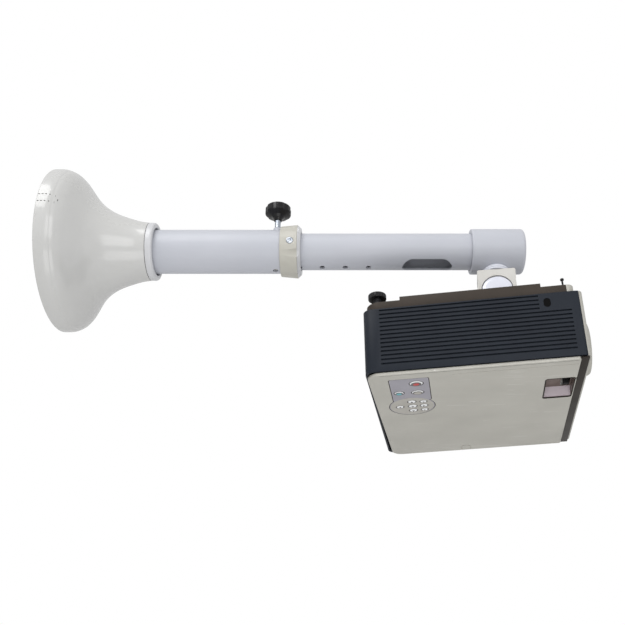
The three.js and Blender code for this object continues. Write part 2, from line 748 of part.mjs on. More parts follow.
/** The wall round the casing in four pieces, its rear sockets, and the strip in front of the cover. */
function casing() {
  const bottom = panelBottom + SEAT_GAP;
  const outside = raised(caseOutline(0), bottom, panelTop);
  const wallRing = cut(outside, raised(caseOutline(box.shell), bottom - 1, panelTop + 1));
  const sideX = [rearX - 1, frontX - box.bezelWidth];
  const sideY = box.rearCorner + 2;
  const near = wallRing.intersect(block(sideX, [nearY - 1, nearY + sideY], [faceZ, baseTop]));
  const far = wallRing.intersect(block(sideX, [farY - sideY, farY + 1], [faceZ, baseTop]));
  const grooves = (span) =>
    Array.from({ length: louvre.count }, (_, i) => {
      const z = panelTop - louvre.fromTop - i * louvre.pitch;
      const end = frontX - box.bezelWidth - 10 - (i < louvre.shortRows ? louvre.shortBy : 0);
      return block([rearX + box.rearCorner, end], span, [z - louvre.height, z]);
    });
  const lockX = frontX - lock.fromFront;
  const lockTop = panelTop - lock.top;
  const lockSlot = block([lockX - lock.halfWidth, lockX + lock.halfWidth], [nearY - 1, nearY + lock.depth],
    [lockTop - lock.height, lockTop]);
  const nearGrooves = grooves([nearY - 1, nearY + louvre.depth]);
  add(projector, "near_side_panel", cut(near, ...nearGrooves, lockSlot), paint.panel);
  add(projector, "far_side_panel", cut(far, ...grooves([farY - louvre.depth, farY + 1])), paint.panel);

  const between = [nearY + sideY + SEAT_GAP, farY - sideY - SEAT_GAP];
  const rear = wallRing.intersect(block([rearX - 1, rearX + 10], between, [faceZ, baseTop]));
  const opening = (socket) =>
    block([rearX - 1, rearX + 5],
      [nearY + socket.fromNear - socket.halfWidth, nearY + socket.fromNear + socket.halfWidth],
      [panelBottom + socket.bottom, panelBottom + socket.top]);
  add(projector, "rear_panel", cut(rear, opening(sockets.mains), opening(sockets.video)), paint.panel);

  const socketBody = (socket) => {
    const centreY = nearY + socket.fromNear;
    const span = (inset) => [centreY - socket.halfWidth + inset, centreY + socket.halfWidth - inset];
    const rise = (inset) => [panelBottom + socket.bottom + inset, panelBottom + socket.top - inset];
    const inset = SEAT_GAP + sockets.wall;
    const shellBody = block([rearX + 0.4, rearX + sockets.length], span(SEAT_GAP), rise(SEAT_GAP));
    return cut(shellBody, block([rearX - 1, rearX + socket.pocket], span(inset), rise(inset)));
  };
  add(projector, "mains_inlet", socketBody(sockets.mains), paint.black);
  add(projector, "video_socket", socketBody(sockets.video), paint.zinc);

  const frontX0 = frontX - box.bezelWidth + SEAT_GAP;
  const front = wallRing.intersect(block([frontX0, frontX + 1], [nearY - 1, farY + 1], [faceZ, baseTop]));
  const lensCentre = [0, lens.y, lens.z];
  const lensHole = rod("x", optics.surroundRadius + 0.4, frontX - 20, frontX + 5, lensCentre, ROUND.large);
  add(projector, "front_bezel", cut(front, lensHole), paint.silver);

  const coverX = [rearX + box.coverRearInset, frontX - box.coverFrontInset];
  const coverY = [nearY + box.coverSideInset, farY - box.coverSideInset];
  const trimX = [coverX[1] + SEAT_GAP, frontX - 2.6];
  const trim = block(trimX, [coverY[0] + 1, coverY[1] - 1], [faceZ + 1.2, panelBottom]);
  add(projector, "front_trim", cut(trim, lensHole), paint.trim);
  return { coverX, coverY };
}

function bottomCase() {
  const bottom = panelTop + SEAT_GAP;
  const { baseInset, rearCorner, frontCorner } = box;
  const outline = roundedOutline([rearX + baseInset, frontX - 8], [nearY + baseInset, farY - baseInset],
    rearCorner - baseInset, frontCorner + 2);
  const body = raised(outline, bottom, baseTop);
  const across = [nearY - 5, farY + 5];
  const step = [baseTop - box.baseStep, baseTop + 5];
  const stepRear = block([rearX - 5, rearX + 44], across, step);
  const stepFront = block([frontX - 45, frontX + 5], across, step);
  const ceiling = baseTop - box.baseStep - 3;
  const hollow = block([rearX + 12, frontX - 16], [nearY + 12, farY - 12], [bottom - 1, ceiling]);
  const footHole = rod("z", foot.stemRadius + SEAT_GAP, bottom - 5, baseTop + 5, footCentre, ROUND.small);
  const pinHole = rod("z", pin.shaftRadius + SEAT_GAP, bottom - 5, baseTop + 5, pinCentre, ROUND.small);
  add(projector, "bottom_case", cut(body, stepRear, stepFront, hollow, footHole, pinHole), paint.base);
}

// ---------------------------------------------------------------- top cover, keys and their panel

const inlayCorner = { x: rearX + 25, y: nearY + 18 };

// Each key: its centre from the inlay's corner, then its two radii.
const keyPlaces = {
  power_button: [31, 14.5, 7.6, 6.4],
  source_button: [31, 40, 6.8, 5.2],
  menu_button: [9, 39, 5.4, 4.6],
  key_up: [22, 67, 4.6, 3.4],
  key_left: [6.5, 81, 4.2, 3.4],
  key_enter: [22, 81, 5, 3.8],
  key_right: [36, 81, 4.2, 3.4],
  key_down: [22, 94.5, 4.6, 3.4],
  key_auto: [36, 68.5, 3.8, 2.8],
  key_blank: [36, 94, 3.8, 2.8],
};

/** The cover's outline: its rear edge slants in towards the far side. */
function coverOutline([x0, x1], [y0, y1]) {
  const rear = 14;
  const front = 3;
  const farX = x0 + box.coverRearSlant;
  const s = new THREE.Shape();
  s.moveTo(x0 + rear, y0);
  s.lineTo(x1 - front, y0);
  s.absarc(x1 - front, y0 + front, front, -Math.PI / 2, 0);
  s.lineTo(x1, y1 - front);
  s.absarc(x1 - front, y1 - front, front, 0, Math.PI / 2);
  s.lineTo(farX + rear, y1);
  s.absarc(farX + rear, y1 - rear, rear, Math.PI / 2, Math.PI);
  s.lineTo(x0, y0 + rear);
  s.absarc(x0 + rear, y0 + rear, rear, Math.PI, 1.5 * Math.PI);
  return s;
}

function topCover({ coverX, coverY }) {
  const slab = raised(coverOutline(coverX, coverY), faceZ, panelBottom);
  const windowX = frontX - optics.windowFromFront;
  const windowY = [lens.y - optics.windowDepth / 2, lens.y + optics.windowDepth / 2];
  const windowHole = block([windowX, windowX + optics.windowLength], windowY, [faceZ - 1, panelBottom + 1]);
  const { x, y } = inlayCorner;
  const inlayShape = (grow, z0, z1) => {
    const { length, width, ovalX, ovalY, ovalRadiusX, ovalRadiusY } = inlay;
    const pad = oval(x + ovalX, y + ovalY, ovalRadiusX + grow, ovalRadiusY + grow);
    return joined(
      block([x - grow, x + length + grow], [y - grow, y + width + grow], [z0, z1]),
      raised(pad, z0, z1, ROUND.tiny),
    );
  };
  const recess = inlayShape(SEAT_GAP, faceZ - 1, faceZ + keys.recess);
  const keyHoles = Object.values(keyPlaces).map(([keyX, keyY, radiusX, radiusY]) => {
    const hole = oval(x + keyX, y + keyY, radiusX + SEAT_GAP, radiusY + SEAT_GAP);
    return raised(hole, faceZ - 2, panelBottom + 1, 8);
  });
  add(projector, "top_cover", cut(slab, windowHole, recess, ...keyHoles), paint.silver);
  const plate = inlayShape(0, faceZ, faceZ + keys.inlayThickness);
  add(projector, "control_panel", cut(plate, ...keyHoles), paint.lilac);
  for (const [name, [keyX, keyY, radiusX, radiusY]] of Object.entries(keyPlaces)) {
    const button = raised(oval(x + keyX, y + keyY, radiusX, radiusY), faceZ - keys.proud,
      faceZ + keys.bodyLength, 8);
    add(projector, name, button, name === "power_button" ? paint.amber : paint.key);
  }
}

// ---------------------------------------------------------------- lens

function lensParts() {
  const centre = [0, lens.y, lens.z];
  const ringBore = optics.barrelRadius + SEAT_GAP;
  const surroundStart = frontX - optics.surroundDepth;
  const surroundEnd = frontX + optics.surroundReach;
  const outer = optics.surroundRadius;
  add(projector, "lens_surround", turned("x", [
    [surroundStart, optics.glassRadius + 1.5],
    [surroundStart, outer],
    [surroundEnd - 3, outer - 1],
    [surroundEnd - 0.8, outer - 2.2],
    [surroundEnd, outer - 4.5],
    [surroundEnd - 1, outer - 6],
    [surroundStart + 9, optics.glassRadius + 1.5],
    [surroundStart, optics.glassRadius + 1.5],
  ], centre, ROUND.medium), paint.silver);
  const barrelEnd = surroundStart - SEAT_GAP;
  const focusStart = frontX - optics.windowFromFront + 4;
  const zoomStart = focusStart + optics.focusWidth + 1.5;
  const zoomEnd = zoomStart + optics.zoomWidth;
  const barrel = rod("x", optics.barrelRadius, focusStart - 3, barrelEnd + 5, centre, ROUND.medium);
  add(projector, "lens_barrel", barrel, paint.black);
  const ring = (from, width, radius) => {
    const to = from + width;
    const profile = [[from, ringBore], [from, radius], [to, radius], [to, ringBore], [from, ringBore]];
    return turned("x", profile, centre, ROUND.medium);
  };
  const ringRadius = optics.barrelRadius + optics.ringWall;
  const leverRoot = lens.z - ringRadius + 1;
  const lever = block([zoomStart + 3, zoomEnd - 3],
    [lens.y - optics.leverHalfWidth, lens.y + optics.leverHalfWidth],
    [leverRoot - optics.leverLength, leverRoot]);
  add(projector, "zoom_ring", joined(ring(zoomStart, optics.zoomWidth, ringRadius), lever), paint.black);
  add(projector, "focus_ring", ring(focusStart, optics.focusWidth, ringRadius + 1), paint.trim);
  const glassStart = barrelEnd + 5 + SEAT_GAP;
  add(projector, "front_lens", turned("x", [
    [glassStart, 0],
    [glassStart, optics.glassRadius],
    [glassStart + 1.5, optics.glassRadius],
    [glassStart + 5, optics.glassRadius * 0.75],
    [glassStart + 6.8, optics.glassRadius * 0.42],
    [glassStart + 7.5, 0],
  ], centre, ROUND.medium), paint.glass);
}

// ---------------------------------------------------------------- feet

const footCentre = [rearX + foot.fromRear, nearY + foot.fromNear, 0];
const pinCentre = [frontX - pin.fromFront, nearY + pin.fromNear, 0];

function feet() {
  const stemTop = baseTop - box.baseStep + foot.stemBare;
  const wheelTop = stemTop + foot.wheelHeight;
  const [footX, footY] = footCentre;
  const stem = rod("z", foot.stemRadius, panelTop + 4, stemTop + 2, footCentre, ROUND.small);
  add(projector, "foot_screw", stem, paint.zinc);
  const disc = turned("z", [
    [stemTop, 0],
    [stemTop, foot.wheelRadius - 1],
    [stemTop + 1, foot.wheelRadius],
    [wheelTop - 1.5, foot.wheelRadius],
    [wheelTop, foot.wheelRadius - 1.5],
    [wheelTop, 0],
  ], footCentre, ROUND.small);
  const boreRadius = foot.stemRadius + SEAT_GAP;
  const seat = rod("z", boreRadius, stemTop - 1, stemTop + 2 + SEAT_GAP, footCentre, ROUND.small);
  const notches = Array.from({ length: foot.notches }, (_, i) => {
    const angle = (i * 2 * Math.PI) / foot.notches;
    const away = foot.wheelRadius + 1;
    const centre = [footX + away * Math.cos(angle), footY + away * Math.sin(angle), 0];
    return rod("z", foot.notchRadius, stemTop - 1, wheelTop + 1, centre, 6);
  });
  add(projector, "foot_wheel", cut(disc, seat, ...notches), paint.black);
  const pinTop = baseTop - box.baseStep + pin.bare;
  add(projector, "front_pin", joined(
    rod("z", pin.shaftRadius, panelTop + 3, pinTop + 0.5, pinCentre, ROUND.tiny),
    rod("z", pin.headRadius, pinTop, pinTop + pin.headHeight, pinCentre, ROUND.small),
  ), paint.black);
}

// ---------------------------------------------------------------- inside the projector

function internals() {
  const floor = panelBottom + 4;
  const ceiling = panelTop - 3;
  const engineEnd = frontX - optics.windowFromFront - 2;
  const engine = joined(
    block([engineEnd - 62, engineEnd], [lens.y - 36, lens.y + 36], [floor + 2, ceiling - 8]),
    block([engineEnd - 84, engineEnd - 60], [lens.y - 18, lens.y + 80], [floor + 8, ceiling - 14]),
  );
  add(projector, "light_engine", engine, paint.steel);
  const lampY = lens.y + 84;
  add(projector, "lamp_module", cut(
    block([engineEnd - 96, engineEnd - 36], [lampY, lampY + 48], [floor + 4, ceiling - 10]),
    rod("x", 20, engineEnd - 50, engineEnd - 30, [0, lampY + 24, (floor + ceiling) / 2 - 3], ROUND.medium),
  ), paint.amber);
  const boardTop = ceiling + 1;
  const board = joined(
    block([rearX + 8, rearX + 74], [nearY + 30, farY - 30], [boardTop - 1.6, boardTop]),
    block([rearX + 26, rearX + 46], [nearY + 150, nearY + 172], [boardTop - 6, boardTop - 1]),
    block([rearX + 50, rearX + 64], [nearY + 190, nearY + 226], [boardTop - 12, boardTop - 1]),
  );
  add(projector, "main_board", board, paint.board);

  const fanX = frontX - fan.fromFront;
  const fanEnd = farY - fan.fromFar;
  const fanStart = fanEnd - fan.thickness;
  const fanZ = (floor + ceiling) / 2;
  const fanCentre = [fanX, 0, fanZ];
  const spanX = [fanX - fan.half, fanX + fan.half];
  const square = block(spanX, [fanStart, fanEnd], [fanZ - fan.half, fanZ + fan.half]);
  const frame = cut(square, rod("y", fan.half - 2, fanStart, fanEnd + 1, fanCentre, ROUND.medium));
  const strut = block([spanX[0] + 1, spanX[1] - 1], [fanEnd - 2, fanEnd], [fanZ - 3, fanZ + 3]);
  const spindle = rod("y", fan.spindleRadius, fanEnd - 8, fanEnd - 1, fanCentre, ROUND.small);
  add(projector, "fan_frame", joined(frame, strut, spindle), paint.black);

  const hub = rod("y", fan.hubRadius, fanStart + 1, fanEnd - 3, [0, 0, 0], ROUND.medium);
  const blades = Array.from({ length: fan.blades }, (_, i) => {
    const blade = new THREE.BoxGeometry(16, 1.4, 11);
    blade.rotateX(rad(32)).translate(18, fanEnd - fan.thickness / 2 - 1, 0);
    return solid(blade.rotateY((i * 2 * Math.PI) / fan.blades));
  });
  const rotor = joined(hub, ...blades).translate(...fanCentre);
  const rotorBore = rod("y", fan.spindleRadius + SEAT_GAP, fanEnd - 9, fanEnd, fanCentre, ROUND.small);
  add(projector, "fan_rotor", cut(rotor, rotorBore), paint.black);
}

// ---------------------------------------------------------------- assembly

wallFixing();
bellCover();
tubes();
clampCollar();
clampKnob();
swivelBoss();
tiltJoint();
legs(mountPlate() - SEAT_GAP);
const cover = casing();
bottomCase();
topCover(cover);
lensParts();
feet();
internals();

const group = new THREE.Group();
group.add(arms, panned);
export default group;
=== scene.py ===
"""A telescopic wall arm that carries a small projector upside down: the visual model, in metres."""

import json
import logging
import math
from collections.abc import Callable, Iterable, Sequence
from contextlib import contextmanager
from dataclasses import dataclass, field
from enum import Enum

import bmesh
import bpy
from mathutils import Matrix, Vector


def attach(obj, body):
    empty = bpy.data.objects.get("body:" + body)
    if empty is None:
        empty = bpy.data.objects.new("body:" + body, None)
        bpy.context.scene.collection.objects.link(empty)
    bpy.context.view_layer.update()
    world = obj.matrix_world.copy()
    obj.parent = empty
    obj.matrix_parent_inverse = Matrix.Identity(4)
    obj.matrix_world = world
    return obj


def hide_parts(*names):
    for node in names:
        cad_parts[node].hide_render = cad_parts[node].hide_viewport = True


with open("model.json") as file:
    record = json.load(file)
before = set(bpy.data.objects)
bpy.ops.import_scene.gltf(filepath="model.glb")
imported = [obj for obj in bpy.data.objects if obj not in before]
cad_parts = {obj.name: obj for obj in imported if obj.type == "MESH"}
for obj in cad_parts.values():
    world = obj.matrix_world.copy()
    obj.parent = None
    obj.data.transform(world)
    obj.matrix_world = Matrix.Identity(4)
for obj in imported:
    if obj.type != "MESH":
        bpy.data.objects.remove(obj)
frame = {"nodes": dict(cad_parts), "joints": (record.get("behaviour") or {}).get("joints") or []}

LOG = logging.getLogger("projector_arm")
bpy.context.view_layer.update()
MM = 0.001
GAP = 0.3  # millimetres between two pieces that touch or run in each other
STUD_HOLE = 4.3
PIN_HOLE = 3.3
Point = tuple[float, float, float]
Profile = Sequence[tuple[float, ...]]
Piece = bpy.types.Object


class Axis(Enum):
    """The axis that a turned piece is turned about."""

    X = Vector((1, 0, 0))
    Y = Vector((0, 1, 0))
    Z = Vector((0, 0, 1))

    def at(self, along: float, radius: float) -> Vector:
        """A place at a distance along the axis and a radius from it."""
        side = Axis.X if self is Axis.Z else Axis.Z
        return self.value * along + side.value * radius

    def lay(self, a: float, b: float, along: float) -> Vector:
        """A place in a plane square to the axis: a and b are the other two axes in order."""
        places = {Axis.X: (along, a, b), Axis.Y: (a, along, b), Axis.Z: (a, b, along)}
        return Vector(places[self])


# ------------------------------------------------------------ modelling bench


class Bench:
    """The modelling bench. Sizes go in as millimetres, and meshes come out in metres."""

    @staticmethod
    def take(*pieces: Piece) -> None:
        """Selects some pieces and nothing else; the first one becomes active."""
        bpy.ops.object.select_all(action="DESELECT")
        for piece in pieces:
            piece.select_set(True)
        bpy.context.view_layer.objects.active = pieces[0]

    @classmethod
    @contextmanager
    def editing(cls, piece: Piece) -> Iterable[bmesh.types.BMesh]:
        """Edit mode on one piece, as a with block that gives its mesh."""
        cls.take(piece)
        bpy.ops.object.mode_set(mode="EDIT")
        bpy.ops.mesh.select_mode(type="VERT")
        yield bmesh.from_edit_mesh(piece.data)
        bpy.ops.object.mode_set(mode="OBJECT")

    @staticmethod
    def choose(mesh: bmesh.types.BMesh, kind: str, test: Callable[..., bool]) -> None:
        """Selects the vertices, edges or faces that pass a test.

        Args:
            mesh: The mesh in edit mode.
            kind: VERT, EDGE or FACE.
            test: Says whether one element is wanted.
        """
        bpy.ops.mesh.select_mode(type=kind)
        bpy.ops.mesh.select_all(action="DESELECT")
        for element in {"VERT": mesh.verts, "EDGE": mesh.edges, "FACE": mesh.faces}[kind]:
            element.select_set(test(element))
        mesh.select_flush_mode()

    @classmethod
    def tidy(cls, piece: Piece, reach: float = 1e-6) -> None:
        """Merges doubles and turns every face outwards."""
        with cls.editing(piece):
            bpy.ops.mesh.select_all(action="SELECT")
            bpy.ops.mesh.remove_doubles(threshold=reach)
            bpy.ops.mesh.normals_make_consistent(inside=False)

    @classmethod
    def turned(cls, name: str, profile: Profile, axis: Axis = Axis.X, centre: Point = (0, 0, 0),
               steps: int = 96) -> Piece:
        """Spins a profile about an axis.

        Args:
            name: The new piece's name.
            profile: (along, radius) or (along, radius, rounding) corners.
            axis: The axis of the turning.
            centre: A point that the axis passes through.
            steps: How many steps make the full turn.

        Returns:
            The new piece.
        """
        piece = cls.wire(name, [axis.at(*corner) + Vector(centre) for corner in eased(profile)])
        with cls.editing(piece):
            bpy.ops.mesh.select_all(action="SELECT")
            bpy.ops.mesh.spin(steps=steps, angle=math.tau, center=Vector(centre) * MM, axis=axis.value)
        cls.tidy(piece)
        return piece

    @classmethod
    def wire(cls, name: str, path: Sequence[Vector]) -> Piece:
        """A chain of edges extruded from point to point."""
        bpy.ops.object.select_all(action="DESELECT")
        bpy.ops.mesh.primitive_plane_add(size=MM)
        piece = bpy.context.object
        piece.name = piece.data.name = name
        with cls.editing(piece):
            bpy.ops.mesh.select_all(action="SELECT")
            bpy.ops.mesh.merge(type="CENTER")
            bpy.ops.transform.translate(value=path[0] * MM)
            for here, there in zip(path, path[1:]):
                bpy.ops.mesh.extrude_region_move(TRANSFORM_OT_translate={"value": (there - here) * MM})
        return piece

    @classmethod
    def prism(cls, name: str, outline: Profile, span: tuple[float, float], axis: Axis = Axis.Z,
              edge: float = 0.0) -> Piece:
        """A flat outline extruded along an axis.

        Args:
            name: The new piece's name.
            outline: (a, b) or (a, b, rounding) corners in the plane square to the axis.
            span: Where the extrusion starts and ends.
            axis: The direction of the extrusion.
            edge: Radius of the rims of both ends.

        Returns:
            The new piece.
        """
        piece = cls.wire(name, [axis.lay(a, b, span[0]) for a, b in eased(outline, closed=True)])
        with cls.editing(piece):
            bpy.ops.mesh.select_all(action="SELECT")
            bpy.ops.mesh.edge_face_add()
            rise = axis.value * (span[1] - span[0]) * MM
            bpy.ops.mesh.extrude_region_move(TRANSFORM_OT_translate={"value": rise})
        cls.tidy(piece)
        if edge:
            cls.ease(piece, edge)
        return piece

    @classmethod
    def rod(cls, name: str, axis: Axis, radius: float, ends: tuple[float, float], centre: Point = (0, 0, 0),
            edge: float = 0.0, steps: int = 48) -> Piece:
        """A round bar with eased edges between two places along an axis."""
        start, end = ends
        profile = [(start, 0.0), (start, radius, edge), (end, radius, edge), (end, 0.0)]
        return cls.turned(name, profile, axis, centre, steps)

    @classmethod
    def ring(cls, name: str, axis: Axis, radii: tuple[float, float], ends: tuple[float, float],
             centre: Point = (0, 0, 0), edge: float = 0.0, steps: int = 72) -> Piece:
        """A sleeve between an inner and an outer radius."""
        (inner, outer), (start, end) = radii, ends
        middle = (inner + outer) / 2
        profile = [(start, middle), (start, outer, edge), (end, outer, edge), (end, inner, edge),
                   (start, inner, edge), (start, middle)]
        return cls.turned(name, profile, axis, centre, steps)

    @classmethod
    def slab(cls, name: str, low: Point, high: Point, corner: float | tuple[float, float] = 0.0,
             edge: float = 0.0, upright: Axis = Axis.Z, steps: int = 8) -> Piece:
        """A block with round upright corners and eased edges.

        Args:
            name: The new piece's name.
            low: Its lowest corner.
            high: Its highest corner.
            corner: Radius of its upright corners; a pair gives those at low X and at high X.
            edge: Radius of all its other edges.
            upright: The direction of the corners' edges.
            steps: Segments in each round corner.

        Returns:
            The new piece.
        """
        size = (Vector(high) - Vector(low)) * MM
        centre = (Vector(high) + Vector(low)) / 2 * MM
        bpy.ops.object.select_all(action="DESELECT")
        bpy.ops.mesh.primitive_cube_add(size=1, location=centre)
        piece = bpy.context.object
        piece.name = piece.data.name = name
        bpy.ops.transform.resize(value=size)
        bpy.ops.object.transform_apply(location=True, rotation=True, scale=True)
        radii = corner if isinstance(corner, tuple) else (corner, corner)
        for radius, side in zip(radii, (-1, 1)):
            if radius:
                with cls.editing(piece) as mesh:
                    cls.choose(mesh, "EDGE", lambda edge: cls.runs(edge, upright)
                               and (edge.verts[0].co.x - centre.x) * side > size.x * 0.49)
                    bpy.ops.mesh.bevel(offset=radius * MM, segments=steps, affect="EDGES")
        if edge:
            cls.ease(piece, edge)
        return piece

    @staticmethod
    def runs(edge: bmesh.types.BMEdge, axis: Axis) -> bool:
        """Whether an edge runs along an axis."""
        return abs((edge.verts[0].co - edge.verts[1].co).normalized().dot(axis.value)) > 0.999

    @classmethod
    def modify(cls, piece: Piece, kind: str, **settings: object) -> None:
        """Adds a modifier with its settings and applies it."""
        cls.take(piece)
        bpy.ops.object.modifier_add(type=kind)
        modifier = piece.modifiers[-1]
        for key, value in settings.items():
            setattr(modifier, key, value)
        bpy.ops.object.modifier_apply(modifier=modifier.name)

    @classmethod
    def ease(cls, piece: Piece, width: float, segments: int = 3, sharper_than: float = 35) -> None:
        """Rounds every edge sharper than an angle in degrees."""
        cls.modify(piece, "BEVEL", width=width * MM, segments=segments, limit_method="ANGLE",
                   angle_limit=math.radians(sharper_than), use_clamp_overlap=True, harden_normals=False)

    @classmethod
    def gather(cls, name: str, pieces: Sequence[Piece]) -> Piece:
        """Joins several pieces into one object without welding them."""
        cls.take(*pieces)
        if len(pieces) > 1:
            bpy.ops.object.join()
        pieces[0].name = pieces[0].data.name = name
        return pieces[0]

    @classmethod
    def boolean(cls, piece: Piece, operation: str, *tools: Piece) -> Piece:
        """Cuts, welds or intersects a piece with tools, which are used up."""
        tool = cls.gather("tool", tools)
        cls.modify(piece, "BOOLEAN", operation=operation, object=tool, solver="EXACT")
        bpy.data.objects.remove(tool)
        return piece

    @classmethod
    def cut(cls, piece: Piece, *tools: Piece) -> Piece:
        """Cuts tools out of a piece."""
        return cls.boolean(piece, "DIFFERENCE", *tools)

    @classmethod
    def weld(cls, piece: Piece, *others: Piece) -> Piece:
        """Welds other pieces on, one after another."""
        for other in others:
            cls.boolean(piece, "UNION", other)
        return piece

    @classmethod
    def copy(cls, piece: Piece, name: str) -> Piece:
        """A copy with its own mesh."""
        cls.take(piece)
        bpy.ops.object.duplicate()
        twin = bpy.context.object
        twin.name = twin.data.name = name
        return twin

    @classmethod
    def move(cls, piece: Piece, place: Matrix) -> Piece:
        """Carries a piece's mesh to another place, its object staying at the origin."""
        piece.matrix_world = place @ piece.matrix_world
        cls.take(piece)
        bpy.ops.object.transform_apply(location=True, rotation=True, scale=True)
        return piece

    @classmethod
    def twins(cls, piece: Piece, count: int) -> list[Piece]:
        """A piece and its copies, as many as are asked for in all."""
        return [piece, *(cls.copy(piece, f"{piece.name}_{i}") for i in range(1, count))]

    @classmethod
    def row(cls, piece: Piece, axis: Axis, count: int, pitch: float) -> list[Piece]:
        """Spreads copies of a piece evenly along an axis."""
        twins = cls.twins(piece, count)
        for i, twin in enumerate(twins):
            cls.move(twin, Matrix.Translation(axis.value * (i * pitch * MM)))
        return twins

    @classmethod
    def around(cls, piece: Piece, axis: Axis, count: int, first: float = 0.0,
               centre: Point = (0, 0, 0)) -> list[Piece]:
        """Spreads copies of a piece evenly about an axis, starting at an angle in degrees."""
        twins = cls.twins(piece, count)
        spot = Matrix.Translation(Vector(centre) * MM)
        for i, twin in enumerate(twins):
            turn = Matrix.Rotation(math.radians(first) + i * math.tau / count, 4, axis.value)
            cls.move(twin, spot @ turn @ spot.inverted())
        return twins

    @classmethod
    def squeeze(cls, piece: Piece, centre: Point, factors: Point) -> Piece:
        """Scales a piece's mesh about a point."""
        spot = Matrix.Translation(Vector(centre) * MM)
        return cls.move(piece, spot @ Matrix.Diagonal((*factors, 1)) @ spot.inverted())

    @classmethod
    def smooth(cls, piece: Piece, angle: float = 32) -> None:
        """Smooth shading, with edges sharper than an angle in degrees kept crisp."""
        cls.take(piece)
        bpy.ops.object.shade_smooth_by_angle(angle=math.radians(angle))


def eased(profile: Profile, segments: int = 6, closed: bool = False) -> list[tuple[float, float]]:
    """Rounds the corners of a flat outline.

    Args:
        profile: (a, b) or (a, b, radius) corners.
        segments: Segments in each rounding.
        closed: Whether the last corner is joined to the first.

    Returns:
        The outline's (a, b) points.
    """
    outline: list[tuple[float, float]] = []
    for i, (a, b, *radius) in enumerate(profile):
        corner = Vector((a, b))
        if not radius or radius[0] == 0 or (not closed and i in (0, len(profile) - 1)):
            outline.append((a, b))
            continue
        neighbours = (profile[i - 1], profile[(i + 1) % len(profile)])
        before, after = (Vector(point[:2]) - corner for point in neighbours)
        bend = before.angle(after) / 2
        reach = min(radius[0] / math.tan(bend), 0.49 * before.length, 0.49 * after.length)
        start, end = before.normalized() * reach, after.normalized() * reach
        centre = (start + end).normalized() * (reach / math.cos(bend))
        first, last = start - centre, end - centre
        spokes = (first.slerp(last, step / segments) * first.length for step in range(segments + 1))
        outline += [tuple(corner + centre + spoke) for spoke in spokes]
    return outline


def oval(centre: tuple[float, float], radii: tuple[float, float], steps: int = 48) -> list[tuple[float, float]]:
    """An ellipse as a closed outline."""
    turns = (math.tau * i / steps for i in range(steps))
    return [(centre[0] + radii[0] * math.cos(t), centre[1] + radii[1] * math.sin(t)) for t in turns]


def flowing(points: Profile, steps: int = 4) -> list[tuple[float, float]]:
    """A smooth curve through points: a Catmull-Rom spline."""
    line = [Vector(point) for point in points]
    line = [line[0] * 2 - line[1], *line, line[-1] * 2 - line[-2]]
    curve = [tuple(line[1])]
    for a, b, c, d in zip(line, line[1:], line[2:], line[3:]):
        for t in (i / steps for i in range(1, steps + 1)):
            curve.append(tuple((b * 2 + (c - a) * t + (a * 2 - b * 5 + c * 4 - d) * t * t
                                + (b * 3 - a - c * 3 + d) * t ** 3) / 2))
    return curve


# ------------------------------------------------------------ finishes


class Signal:
    """A shader socket that takes part in arithmetic; each operator adds a Math node."""

    def __init__(self, tree: bpy.types.NodeTree, socket: bpy.types.NodeSocket) -> None:
        """Wraps a socket of a node tree."""
        self.tree, self.socket = tree, socket

    def _math(self, operation: str, first: object, second: object = 0.0) -> "Signal":
        """Adds a Math node on two values or signals."""
        node = self.tree.nodes.new("ShaderNodeMath")
        node.operation = operation
        for slot, value in zip(node.inputs, (first, second)):
            if isinstance(value, Signal):
                self.tree.links.new(value.socket, slot)
            else:
                slot.default_value = value
        return Signal(self.tree, node.outputs[0])

    def __add__(self, other: object) -> "Signal":
        """self + other"""
        return self._math("ADD", self, other)

    __radd__ = __add__

    def __sub__(self, other: object) -> "Signal":
        """self - other"""
        return self._math("SUBTRACT", self, other)

    def __rsub__(self, other: object) -> "Signal":
        """other - self"""
        return self._math("SUBTRACT", other, self)

    def __mul__(self, other: object) -> "Signal":
        """self * other"""
        return self._math("MULTIPLY", self, other)

    __rmul__ = __mul__

    def __gt__(self, other: object) -> "Signal":
        """1 where self is over other, else 0"""
        return self._math("GREATER_THAN", self, other)

    def clamped(self) -> "Signal":
        """Held between 0 and 1."""
        return self._math("MINIMUM", self._math("MAXIMUM", self, 0.0), 1.0)


